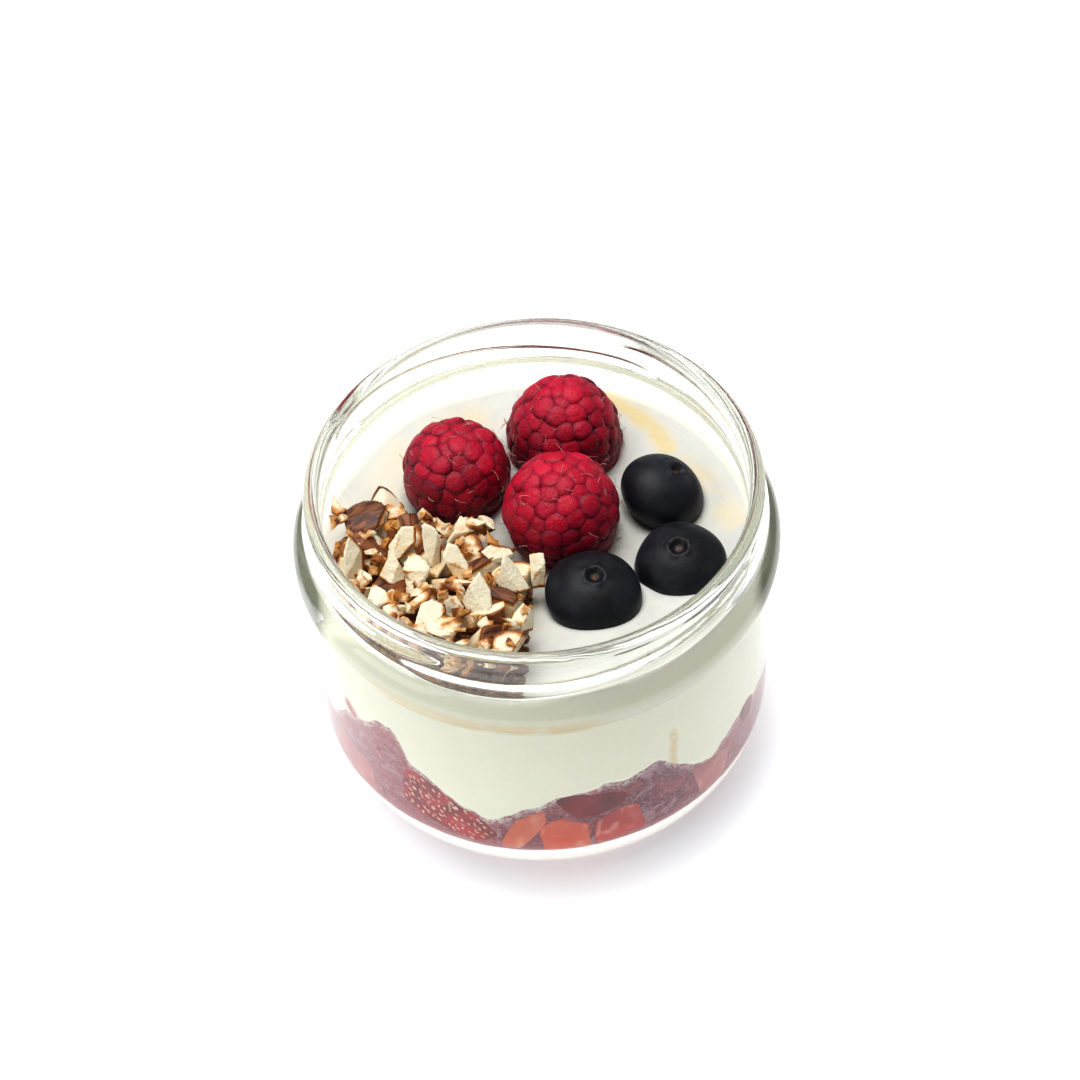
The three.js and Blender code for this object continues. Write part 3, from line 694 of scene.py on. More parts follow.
class Tree:
    """A Geometry Nodes tree with named inputs, which is run once and leaves a plain mesh."""

    def __init__(self, name, **inputs):
        self.group = bpy.data.node_groups.new(name, "GeometryNodeTree")
        new_socket = self.group.interface.new_socket
        new_socket("Geometry", in_out="INPUT", socket_type="NodeSocketGeometry")
        for input_name, kind in inputs.items():
            new_socket(input_name, in_out="INPUT", socket_type="NodeSocket" + kind)
        new_socket("Geometry", in_out="OUTPUT", socket_type="NodeSocketGeometry")
        self.given = self.group.nodes.new("NodeGroupInput").outputs
        self.result = self.group.nodes.new("NodeGroupOutput").inputs[0]

    def add(self, kind, sockets=None, settings=None, output=0):
        node = self.group.nodes.new(kind)
        for name, value in (settings or {}).items():
            setattr(node, name, value)
        for name, value in (sockets or {}).items():
            if isinstance(value, bpy.types.NodeSocket):
                self.group.links.new(value, node.inputs[name])
            else:
                node.inputs[name].default_value = value
        return node.outputs[output]

    def kept(self, name, data_type="FLOAT_VECTOR"):
        return self.add("GeometryNodeInputNamedAttribute", {"Name": name}, {"data_type": data_type})

    def end(self, geometry, material):
        real = self.add("GeometryNodeRealizeInstances", {0: geometry})
        finished = self.add("GeometryNodeSetMaterial", {0: real, "Material": material})
        self.group.links.new(finished, self.result)

    def run(self, marks, **values):
        """Runs the tree on an object and keeps the outcome as its mesh."""
        modifier = marks.modifiers.new("tree", "NODES")
        modifier.node_group = self.group
        for item in self.group.interface.items_tree:
            if item.name in values:
                modifier[item.identifier] = values[item.name]
        graph = bpy.context.evaluated_depsgraph_get()
        marks_mesh = marks.data
        finished = marks.evaluated_get(graph)
        made = bpy.data.meshes.new_from_object(finished, preserve_all_data_layers=True, depsgraph=graph)
        marks.modifiers.clear()
        marks.data = made
        made.name = marks.name
        bpy.data.meshes.remove(marks_mesh)
        return marks


def tree_of_copies():
    tree = Tree("copies_on_marks", Kinds="Collection", Size="Float", Material="Material")
    given = {"Collection": tree.given["Kinds"], "Separate Children": True}
    kinds = tree.add("GeometryNodeCollectionInfo", given)
    sizes = {0: tree.kept("scale"), "Scale": tree.given["Size"]}
    scale = tree.add("ShaderNodeVectorMath", sizes, {"operation": "SCALE"})
    copies = tree.add(
        "GeometryNodeInstanceOnPoints",
        {
            "Points": tree.given["Geometry"], "Instance": kinds, "Pick Instance": True,
            "Instance Index": tree.kept("kind", "INT"), "Rotation": tree.kept("turn"), "Scale": scale,
        },
    )
    tree.end(copies, tree.given["Material"])
    return tree


COPIES = tree_of_copies()


def copies(name, kinds, marks, material, size=1.0):
    """marks is a list of (place, turning matrix, scale, kind, tone). kinds are objects, taken by their names'
    order."""
    store = bpy.data.collections.new(name + "_kinds")
    for kind in kinds:
        store.objects.link(kind)
        if kind.name in bpy.context.scene.collection.objects:
            bpy.context.scene.collection.objects.unlink(kind)
    mesh = bpy.data.meshes.new(name + "_marks")
    mesh.from_pydata([tuple(np.asarray(mark[0], float) * MM) for mark in marks], [], [])
    made = bpy.data.objects.new(name, mesh)
    bpy.context.scene.collection.objects.link(made)
    turns = [tuple(Matrix(np.asarray(mark[1]).tolist()).to_euler()) for mark in marks]
    scales = [tuple(np.broadcast_to(mark[2], 3)) for mark in marks]
    for label, kind, field, values in [
        ("turn", "FLOAT_VECTOR", "vector", turns), ("scale", "FLOAT_VECTOR", "vector", scales),
        ("kind", "INT", "value", [int(mark[3]) for mark in marks]),
        ("tone", "FLOAT", "value", [float(mark[4]) for mark in marks]),
    ]:
        mesh.attributes.new(label, kind, "POINT").data.foreach_set(field, np.ravel(values))
    COPIES.run(made, Kinds=store, Size=size, Material=material)
    for kind in kinds:
        bpy.data.objects.remove(kind)
    bpy.data.collections.remove(store)
    return made


def facing(direction, spin=0.0):
    """A turning matrix whose z axis points that way, turned about it by spin radians."""
    z = unit(direction)
    side = unit(np.cross((0, 0, 1) if abs(z[2]) < 0.999 else (1, 0, 0), z))
    turned = math.cos(spin) * side + math.sin(spin) * np.cross(z, side)
    return np.stack([turned, np.cross(z, turned), z], axis=1)


# %% [markdown]
# ## Strawberry pieces
# Cut strawberries lie in the mash, and those that touch the glass show as flat, sharp patches. Each piece
# is an outline bent round the inside of the wall. Its corners are softened, and its face is a low pillow
# that meets the glass in the middle and rolls away at the edges. The ones in front follow the outlines
# that are seen there, as angles round the jar and heights. The others are leaning blocks.

# %% Strawberry outlines
SEEN_PIECES = {
    "strawberry_slice_left": [
        (-40.0, 24.4), (-36.5, 25.2), (-28.7, 22.3), (-23.5, 19.4), (-17.5, 17.0), (-12.4, 12.4),
        (-19.6, 8.4), (-30.1, 11.2), (-41.4, 14.0),
    ],
    "strawberry_chunk_1": [
        (-14.1, 8.3), (-12.3, 13.4), (-9.4, 17.8), (-1.7, 21.0), (-1.2, 17.6), (-5.2, 12.6), (-8.9, 8.4),
    ],
    "strawberry_chunk_2": [(-3.7, 16.3), (1.9, 18.4), (9.3, 16.0), (10.0, 6.2), (-2.4, 7.2)],
    "strawberry_chunk_3": [(10.3, 15.8), (17.4, 18.5), (22.3, 18.1), (25.3, 9.2), (10.9, 6.4)],
    "strawberry_slice_front": [
        (-0.3, 23.8), (4.7, 25.0), (17.5, 23.1), (20.7, 22.0), (19.5, 19.7), (12.1, 17.2), (5.6, 17.6),
    ],
    "strawberry_chunk_4": [(37.9, 19.1), (49.0, 17.5), (53.4, 15.7), (50.9, 8.8), (42.1, 9.1)],
    "strawberry_slice_right": [(65.5, 21.9), (60.4, 23.2), (56.8, 21.7), (58.7, 17.3), (64.1, 16.7)],
}
# Middle angle and height, width, height and tilt of the pieces round the back.
OTHER_PIECES = {
    "strawberry_chunk_5": (84, 13.5, 11, 8.6, 16), "strawberry_slice_back_right": (113, 12.6, 13, 7, -14),
    "strawberry_chunk_6": (144, 15.2, 11, 9.6, 8), "strawberry_slice_back": (-179, 14.6, 15, 8, 18),
    "strawberry_chunk_7": (-147, 12.2, 10, 8.5, 10), "strawberry_chunk_8": (-117, 17, 11, 9.6, -16),
    "strawberry_slice_back_left": (-89, 13.4, 14, 8, 12), "strawberry_chunk_9": (-60, 13.6, 12, 8.6, -10),
}
PIECE_DEPTH, PIECE_PROUD = 6.0, 0.34
OUTLINE_POINTS = 128


def softened(corners, softness):
    """A closed outline through corners, evenly spaced, with its corners rounded off."""
    corners = np.asarray(corners, float)
    closed = np.concatenate([corners, corners[:1]])
    steps = np.r_[0, np.cumsum(np.hypot(*np.diff(closed, axis=0).T))]
    count = OUTLINE_POINTS
    along = np.arange(count) * steps[-1] / count
    fine = np.stack([np.interp(along, steps, closed[:, k]) for k in (0, 1)], axis=-1)
    spread = softness / (steps[-1] / count)
    weights = np.exp(-0.5 * (np.minimum(np.arange(count), count - np.arange(count)) / spread) ** 2)
    wave = np.fft.rfft(fine, axis=0) * np.fft.rfft(weights / weights.sum())[:, None]
    return np.fft.irfft(wave, count, axis=0)


def strawberry_block(name, middle_angle, height, width, tall, tilt):
    turn = math.radians(tilt)
    rng = chance(len(name) * 7 + int(abs(middle_angle)))
    corners = []
    for u, v in [(-1, -1), (0, -1.08), (1, -1), (1.06, 0), (1, 1), (0, 1.05), (-1, 1), (-1.05, 0)]:
        pull = rng.uniform(0.82, 1.0) * (0.86 if "slice" in name and u * v else 1)
        a, b = u * width / 2 * pull, v * tall / 2 * pull
        across, up = a * math.cos(turn) - b * math.sin(turn), a * math.sin(turn) + b * math.cos(turn)
        corners.append((middle_angle + math.degrees(across / INSIDE_LOW), height + up))
    return corners


def strawberry_piece(name, corners, material):
    flat = np.array([(math.radians(a) * INSIDE_LOW, z) for a, z in corners])
    is_slice = "slice" in name
    outline = softened(flat, 0.9 if is_slice else 0.42)
    rng = chance(len(name) + int(abs(flat[0, 0]) * 10))
    way = np.arange(OUTLINE_POINTS) / OUTLINE_POINTS * 2 * math.pi
    ripple = sum(rng.uniform(0.02, 0.07) * np.sin(way * k + rng.uniform(0, 6)) for k in (5, 9, 14, 23))
    centre = outline.mean(0)
    away = unit(outline - centre)
    outline = outline + away * ripple[:, None]

    def ring(share, back):
        flat_ring = centre + (outline - centre) * share
        angle, z = np.degrees(flat_ring[:, 0] / INSIDE_LOW), np.clip(flat_ring[:, 1], FLOOR + 0.2, 60)
        return ring_at(angle, inside_radius(z) + PIECE_PROUD - back, z)

    roll, reach = (0.7, 0.16) if is_slice else (0.5, 0.10)
    rings = []
    for share in (0.12, 0.25, 0.38, 0.5, 0.6, 0.7, 0.78, 1 - reach):
        rings.append(ring(share, 0.05 * share**4))
    for turn in np.radians(np.linspace(12, 90, 8)):
        rings.append(ring(1 - reach + reach * math.sin(turn), 0.03 + roll * (1 - math.cos(turn))))
    for back in (2.2, 4.2, PIECE_DEPTH - 0.5):
        rings.append(ring(1.0 - 0.02 * back, back))
    rings.append(ring(0.7, PIECE_DEPTH))
    first, last = rings[0].mean(0), rings[-1].mean(0)
    points, faces = net([first[None], *rings, last[None]])
    return piece(name + "_cut", points, faces, material), outline


# %% [markdown]
# ## Strawberry flesh and skin
# The flesh is orange-red with paler fibres that run out from the core, and wine red in the two ripe
# slices at the front and the right. The skin is deeper red and carries the seeds. Both are wet.

# %% Finish of the strawberries


def strawberry_flesh(name, deep, pale, seed, fibre=(0.80, 0.42, 0.32)):
    finish = Finish(
        name, Roughness=0.3, IOR=1.4, Specular_IOR_Level=0.1, Subsurface_Weight=0.2,
        Subsurface_Radius=(1.0, 0.25, 0.15), Subsurface_Scale=0.002,
    )
    place = finish.add("Mapping", sockets={0: finish.place(), 1: (seed, 0, 0), 3: (1, 1, 0.45)})
    looks = {"Scale": 420.0, "Detail": 4.0, "Distortion": 0.8}
    fibres = finish.add("TexNoise", sockets={"Vector": place, **looks})
    cloud = finish.noise(5.0, detail=3.0)
    colour = finish.blend(cloud.ramp(0.3, 0.7), deep, pale)
    colour = finish.blend(fibres.ramp(0.52, 0.70) * 0.45, colour, fibre)
    return finish.set(Base_Color=colour, Normal=finish.bump(fibres + cloud, 0.15))


def strawberry_skin():
    finish = Finish(
        "strawberry_skin", Roughness=0.25, IOR=1.4, Specular_IOR_Level=0.1, Subsurface_Weight=0.15,
        Subsurface_Radius=(1.0, 0.2, 0.1), Subsurface_Scale=0.001,
    )
    cloud, fine = finish.noise(4.0, detail=4.0), finish.noise(0.9, detail=3.0)
    colour = finish.blend(cloud.ramp(0.35, 0.65), (0.20, 0.012, 0.020), (0.46, 0.030, 0.035))
    colour = finish.blend(fine.ramp(0.58, 0.72) * 0.5, colour, (0.55, 0.14, 0.10))
    return finish.set(Base_Color=colour, Normal=finish.bump(cloud + fine * 0.4, 0.2))


ORANGE = strawberry_flesh("strawberry_flesh_orange", (0.60, 0.12, 0.06), (0.68, 0.20, 0.12), 0.0)
RED = strawberry_flesh("strawberry_flesh_red", (0.62, 0.060, 0.030), (0.66, 0.12, 0.06), 0.1)
DEEP = strawberry_flesh("strawberry_flesh_deep", (0.42, 0.035, 0.035), (0.54, 0.075, 0.06), 0.2)
ROSE = strawberry_flesh("strawberry_flesh_rose", (0.44, 0.13, 0.14), (0.56, 0.22, 0.22), 0.4)
FLESHES = [ORANGE, RED, DEEP, ROSE, DEEP, RED, ROSE, ORANGE, ROSE]
WINE_FLESH = strawberry_flesh(
    "strawberry_flesh_wine", (0.13, 0.003, 0.010), (0.24, 0.008, 0.018), 0.3, fibre=(0.34, 0.03, 0.04)
)
SKIN = strawberry_skin()

strawberries, outlines = {}, {}
for name, corners in SEEN_PIECES.items():
    number = int(name[-1]) - 1 if name[-1].isdigit() else 0
    finish = SKIN if name == "strawberry_slice_left" else WINE_FLESH if "slice" in name else FLESHES[number]
    strawberries[name], outlines[name] = strawberry_piece(name, corners, finish)
for name, block in OTHER_PIECES.items():
    number = int(name[-1]) - 1 if name[-1].isdigit() else 0
    finish = SKIN if "slice" in name else FLESHES[number]
    strawberries[name], outlines[name] = strawberry_piece(name, strawberry_block(name, *block), finish)
print("strawberry pieces:", len(strawberries))

# %% [markdown]
# The seeds are one small shape, set on the slices that show skin, in staggered rows.

# %% Strawberry seeds
SEED_ROW, SEED_STEP = 1.1, 1.5


def seed_shape():
    around = np.radians(np.arange(10) * 36)
    rings = []
    for polar in np.radians(np.linspace(0, 180, 9)):
        r, z = math.sin(polar) * (1 - 0.25 * math.cos(polar)), math.cos(polar)
        x, y = 0.36 * r * np.cos(around), 0.2 * r * np.sin(around)
        rings.append(np.stack([x, 0.72 * z + 0 * around, y], -1))
    return piece("kind_0_seed", *net([rings[0][:1], *rings[1:-1], rings[-1][:1]]))


def inside_outline(point, outline):
    turned = np.roll(outline, -1, axis=0)
    crosses = (outline[:, 1] > point[1]) != (turned[:, 1] > point[1])
    with np.errstate(divide="ignore", invalid="ignore"):
        share = (point[1] - outline[:, 1]) / (turned[:, 1] - outline[:, 1])
        at = outline[:, 0] + share * (turned[:, 0] - outline[:, 0])
    return int((crosses & (point[0] < at)).sum()) % 2 == 1


def seed_marks():
    rng = chance(71)
    marks = []
    for name, outline in outlines.items():
        if "slice" not in name or name in ("strawberry_slice_right", "strawberry_slice_front"):
            continue
        shrunk = outline.mean(0) + (outline - outline.mean(0)) * 0.86
        low, high = outline.min(0), outline.max(0)
        for row, v in enumerate(np.arange(low[1], high[1], SEED_ROW)):
            for u in np.arange(low[0] + SEED_STEP / 2 * (row % 2), high[0], SEED_STEP):
                at = np.array([u, v]) + rng.uniform(-0.6, 0.6, 2)
                if not inside_outline(at, shrunk):
                    continue
                angle = math.degrees(at[0] / INSIDE_LOW)
                place = ring_at(np.array([angle]), inside_radius(at[1]) + PIECE_PROUD - 0.01, at[1])[0]
                out = unit(np.array([*place[:2], 0.0]))
                side = np.cross((0, 0, 1), out)
                spin = rng.normal(0.5, 0.35)
                x_axis = math.cos(spin) * side + math.sin(spin) * np.array([0, 0, 1.0])
                y_axis = np.cross(-out, x_axis)
                turn = np.stack([x_axis, y_axis, -out], 1)
                marks.append((place, turn, rng.uniform(0.42, 0.78), 0, rng.uniform()))
    return marks


def seed_straw():
    finish = Finish("seed_straw", Roughness=0.4)
    colour = finish.blend(finish.kept("tone"), (0.60, 0.24, 0.16), (0.86, 0.62, 0.48))
    return finish.set(Base_Color=colour, Normal=finish.bump(finish.noise(0.3), 0.03))


seeds = copies("strawberry_seeds", [seed_shape()], seed_marks(), seed_straw())
print("seeds:", len(seeds.data.polygons), "faces")

# %% [markdown]
# ## Raspberries
# A raspberry is a cap of small round fruits, the drupelets, which stand in rings and press each other
# into flat cushions. Each drupelet here is one cushion that crosses its neighbours, so the creases
# between them come by themselves. A core closes the gaps between them; the painted shade of the creases
# makes it dark. The hairs are dried styles, one for some of the drupelets.

# %% Raspberry shapes
DRUPELET, DRUPELET_ROWS = 3.5, 0.84
DRUPELET_WIDE, DRUPELET_DEEP = 2.4, 1.7
SQUARENESS = 2.7  # 2 would make a drupelet a ball


def leaning(berry):
    turn = Euler((math.radians(-berry["lean"][1]), math.radians(berry["lean"][0]), 0))
    return np.array(turn.to_matrix()), np.array(berry["at"], float)


def raspberry_radius(berry, height):
    """Radius of the outline at a height over its widest ring, or under it."""
    over = np.clip(1 - np.abs(height / berry["dome"]) ** 2.2, 0, 1) ** 0.5
    under = 1 - 0.16 * (height / berry["foot"]) ** 2
    return berry["radius"] * np.where(height >= 0, over, under)


def drupelet_marks(berry, rng):
    """Place, facing and ring of each drupelet, from the tip down."""
    heights = np.linspace(berry["dome"], -berry["foot"], 1200)
    radii = raspberry_radius(berry, heights)
    run = np.r_[0, np.cumsum(np.hypot(np.diff(heights), np.diff(radii)))]
    marks = []
    for ring, along in enumerate(np.arange(0.46, run[-1] / DRUPELET, DRUPELET_ROWS) * DRUPELET):
        z, r = np.interp(along, run, heights), np.interp(along, run, radii)
        ahead_z, ahead_r = np.interp(along + 0.6, run, heights), np.interp(along + 0.6, run, radii)
        before_z, before_r = np.interp(along - 0.6, run, heights), np.interp(along - 0.6, run, radii)
        outward = unit((before_z - ahead_z, ahead_r - before_r)) if along > 0.6 else np.array([0.3, 1.0])
        count = 3 if ring == 0 else max(7, round(2 * math.pi * r / DRUPELET))
        for i in range(count):
            turn = (i + 0.5 * (ring % 2) + rng.uniform(-0.13, 0.13)) / count * 2 * math.pi
            way = np.array([outward[0] * math.cos(turn), outward[0] * math.sin(turn), outward[1]])
            top = np.array([r * math.cos(turn), r * math.sin(turn), z + rng.uniform(-0.3, 0.3)])
            marks.append((top + way * rng.uniform(-0.4, -0.1), way, ring))
    return marks


def cushion():
    """One drupelet: a ball pressed flat, with its top a little flatter than a ball's."""
    across, around = 26, 15
    rings = [np.array([[0, 0, 1.0]])]
    for i in range(1, around):
        polar = math.pi * i / around
        r, z = math.sin(polar), math.cos(polar)
        grow = (r**SQUARENESS + abs(z) ** SQUARENESS) ** (-1 / SQUARENESS)
        rings.append(ring_at(np.arange(across) * 360 / across, r * grow, z * grow))
    return [*rings, np.array([[0, 0, -1.0]])]


def raspberry(name, berry, material, seed):
    rng = chance(seed)
    marks = []
    for top, way, ring in drupelet_marks(berry, rng):
        tilt = way + rng.normal(0, 0.07, 3)
        wide = DRUPELET_WIDE * rng.uniform(0.9, 1.08)
        deep = DRUPELET_DEEP * rng.uniform(0.92, 1.1)
        scale = (wide * rng.uniform(0.96, 1.06), wide * 0.93, deep)
        marks.append((top - unit(tilt) * deep, facing(tilt), scale, 0, rng.uniform()))
    heights = np.linspace(berry["dome"] - 2.4, -berry["foot"], 22)
    core_radii = [max(0.2, float(raspberry_radius(berry, z + 1)) - 1.3) for z in heights]
    core = [ring_at(np.arange(48) * 7.5, r, z) for r, z in zip(core_radii, heights)]
    points, faces = net(cushion())
    kinds = [
        piece("kind_0_cushion", points, faces),
        piece("kind_1_core", *net([[[0, 0, heights[0] + 0.2]], *core, [[0, 0, heights[-1] - 0.1]]])),
    ]
    note(kinds[0], "rise", points[:, 2])
    marks.append(((0, 0, 0), np.eye(3), 1.0, 1, 0.0))
    turn, at = leaning(berry)
    placed = [(turn @ np.asarray(p) + at, turn @ t, s, k, tone) for p, t, s, k, tone in marks]
    return copies(name, kinds, placed, material)


# %% [markdown]
# The skin of a drupelet is deep crimson and lets some light in, with a thin velvet of tiny hairs. Each
# drupelet has its own tone, from crimson to wine. Over that, light and shade are painted: the berry is
# brighter towards its top, a few drupelets high on it glow, the tops of the drupelets are lighter, and
# the creases between them and the lower part of the berry are painted dark.

# %% Finish of the raspberries


def raspberry_red():
    finish = Finish(
        "raspberry_red", IOR=1.4, Subsurface_Weight=0.3, Subsurface_Radius=(1.0, 0.12, 0.12),
        Subsurface_Scale=0.0022, Sheen_Weight=0.07, Sheen_Roughness=0.35, Sheen_Tint=(1.0, 0.35, 0.5, 1),
    )
    _, _, z = finish.axes()
    tone, rise = finish.kept("tone"), finish.kept("rise")
    # painted light: brighter towards the top of the berry, darker towards its foot
    high = z.ramp(46.5, 62.5)
    # tone and noise are the drupelets' own colour; high and rise add painted light on tops and painted shade
    # in the creases
    glow = tone * 0.25 + high * 0.62 + finish.noise(8.0) * 0.35 + rise.ramp(0.60, 0.97) * 0.40 - 0.39
    colour = finish.blend(glow.ramp(0.0, 1.0), (0.115, 0.003, 0.016), (0.57, 0.001, 0.032))
    # painted highlight: a few drupelets high on the berry glow brighter
    colour = finish.blend(tone.ramp(0.90, 0.98) * 0.5 * high, colour, (0.70, 0.010, 0.055))
    fine = finish.noise(0.35, detail=2.0)
    fuzz = finish.noise(0.28, detail=3.0, rough=0.7, warp=1.0)
    colour = finish.blend(fuzz.ramp(0.56, 0.72) * 0.22, colour, (0.72, 0.16, 0.24))
    relief = fine + finish.noise(1.0, detail=3.0) * 2.5
    return finish.set(Base_Color=colour, Roughness=0.38 + 0.25 * fine, Normal=finish.bump(relief, 0.11))


RASPBERRY_RED = raspberry_red()
raspberries = {}
for seed, name in enumerate(name for name in BERRIES if name.startswith("raspberry")):
    raspberries[name] = raspberry(name + "_drupelets", BERRIES[name], RASPBERRY_RED, 11 + seed)
    print(name, len(raspberries[name].data.polygons), "faces")

# %% [markdown]
# The hairs are thin curls that spring from the drupelets. Python draws each one as a chain of short
# lines, and a second tree turns the chains into tubes.

# %% Raspberry hairs


def tree_of_hairs():
    tree = Tree("tubes_along_lines", Thickness="Float", Material="Material")
    curve = tree.add("GeometryNodeMeshToCurve", {0: tree.given["Geometry"]})
    sizes = {"Resolution": 4, "Radius": tree.given["Thickness"]}
    profile = tree.add("GeometryNodeCurvePrimitiveCircle", sizes)
    tube = tree.add("GeometryNodeCurveToMesh", {"Curve": curve, "Profile Curve": profile, "Fill Caps": True})
    tree.end(tube, tree.given["Material"])
    return tree


HAIRS = tree_of_hairs()


def hairs(name, berry, material, seed, share=0.5, steps=7):
    rng = chance(seed)
    turn, at = leaning(berry)
    points, edges = [], []
    for top, way, ring in drupelet_marks(berry, rng):
        for _ in range(2):
            if rng.uniform() > share * 0.62:
                continue
            side = unit(np.cross(way, rng.normal(size=3)))
            here = top + side * rng.uniform(0.2, 1.5) - way * 0.25
            heading = unit(way * rng.uniform(0.15, 0.9) + side)
            bend = unit(np.cross(way, side)) * rng.uniform(-0.9, 0.9) - way * rng.uniform(0.0, 0.35)
            length = rng.uniform(1.0, 2.7)
            for step in range(steps):
                points.append(turn @ here + at)
                if step:
                    edges.append((len(points) - 2, len(points) - 1))
                here = here + heading * length / (steps - 1)
                heading = unit(heading + bend * 0.32)
    mesh = bpy.data.meshes.new(name)
    mesh.from_pydata((np.array(points) * MM).tolist(), edges, [])
    made = bpy.data.objects.new(name, mesh)
    bpy.context.scene.collection.objects.link(made)
    return HAIRS.run(made, Thickness=0.05 * MM, Material=material)


def dried_style():
    finish = Finish("dried_style", Roughness=0.5)
    colour = finish.blend(finish.noise(2.5).ramp(0.4, 0.6), (0.40, 0.12, 0.09), (0.72, 0.40, 0.34))
    return finish.set(Base_Color=colour)


DRIED_STYLE = dried_style()
raspberry_hairs = {}
for seed, name in enumerate(raspberries):
    raspberry_hairs[name] = hairs(name + "_hairs", BERRIES[name], DRIED_STYLE, 31 + seed)
print("hairs:", sum(len(made.data.polygons) for made in raspberry_hairs.values()), "faces")

# %% [markdown]
# ## Blueberries
# A blueberry is a ball pressed flat, with a small crater where the flower sat. The crater has a low,
# five-lobed rim. The shape follows a rule, so it is a net of rings whose radius swells a little in five
# places at the rim.

# %% Blueberry shapes
CRATER, CRATER_DEPTH = 1.75, 0.85


def blueberry(name, berry, material, seed):
    rng = chance(seed)
    radius, half = berry["radius"], berry["half"]
    angles = np.arange(120) * 3.0
    lobes = np.radians(angles) * 5 + rng.uniform(0, 6)
    around = np.radians(angles)
    dents = sum(rng.uniform(0.004, 0.014) * np.cos(around * k + rng.uniform(0, 6)) for k in (2, 3, 4))
    rings = [np.array([[0, 0, -half]])]
    for polar in np.linspace(0, 180, 74)[1:-1]:
        r, z = math.sin(math.radians(polar)), -math.cos(math.radians(polar))
        r, z = r * radius * (1 + dents * r), z * half * (1 - 0.05 * r * r)
        from_rim = (r - CRATER * (1 + 0.10 * np.cos(lobes))) / 0.45
        rim = np.exp(-(from_rim**2)) * (0.13 + 0.07 * np.cos(lobes))
        bowl = CRATER_DEPTH * (1 - smooth(0.4 * CRATER, 0.98 * CRATER, r))
        rings.append(ring_at(angles, r, z + (rim - bowl if polar > 90 else 0)))
    rings.append(np.array([[0, 0, half - CRATER_DEPTH]]))
    points, faces = net(rings)
    turn, at = leaning(berry)
    made = piece(name, points @ turn.T + at, faces, material)
    above = points[:, 2] > 0
    away = smooth(0.25 * CRATER, CRATER * 1.25, np.hypot(*points.T[:2]))
    note(made, "crater", 1 - away * above - ~above)
    return made


# %% [markdown]
# The skin is blue-black under a matt wax bloom. The bloom is thin in these wet berries, rubbed off in
# patches, and the dry rest of the flower leaves a rusty speck in the crater.

# %% Finish of the blueberries


def blueberry_skin():
    finish = Finish(
        "blueberry_skin", IOR=1.4, Specular_IOR_Level=0.35, Sheen_Weight=0.03, Sheen_Roughness=0.4,
        Sheen_Tint=(0.65, 0.75, 1.0, 1),
    )
    bloom = finish.noise(5.0, detail=4.0, warp=0.5)
    fine = finish.noise(0.5, detail=3.0)
    crater = finish.kept("crater")
    colour = finish.blend(bloom.ramp(0.35, 0.7), (0.008, 0.008, 0.010), (0.019, 0.020, 0.027))
    colour = finish.blend(fine.ramp(0.5, 0.8) * 0.3, colour, (0.026, 0.030, 0.042))
    colour = finish.blend(crater.ramp(0.2, 0.8) * 0.7, colour, (0.010, 0.007, 0.008))
    rusty = crater.ramp(0.96, 1.0) * finish.noise(0.6).ramp(0.44, 0.54)
    colour = finish.blend(rusty, colour, (0.16, 0.05, 0.02))
    rough = 0.30 + 0.2 * bloom + 0.1 * fine
    relief = fine * 0.3 + finish.noise(1.8)
    return finish.set(Base_Color=colour, Roughness=rough, Normal=finish.bump(relief, 0.06))


BLUEBERRY_SKIN = blueberry_skin()
blueberries = {}
for seed, name in enumerate(name for name in BERRIES if name.startswith("blueberry")):
    blueberries[name] = blueberry(name + "_bloom", BERRIES[name], BLUEBERRY_SKIN, 21 + seed)
print("blueberries:", len(blueberries))

# %% [markdown]
# ## Chopped almonds
# A knife breaks an almond into bits with flat, creamy faces, and leaves brown skin on some of their
# sides. Each kind of bit is a ball of rays from a point in the kernel: a ray ends at the nearest of the
# kernel's skin and a few cutting planes. That keeps every bit closed, and it tells for each point whether
# it lies on skin or on a cut.

# %% Kinds of almond bits
KERNEL = np.array([11.2, 6.4, 4.3])


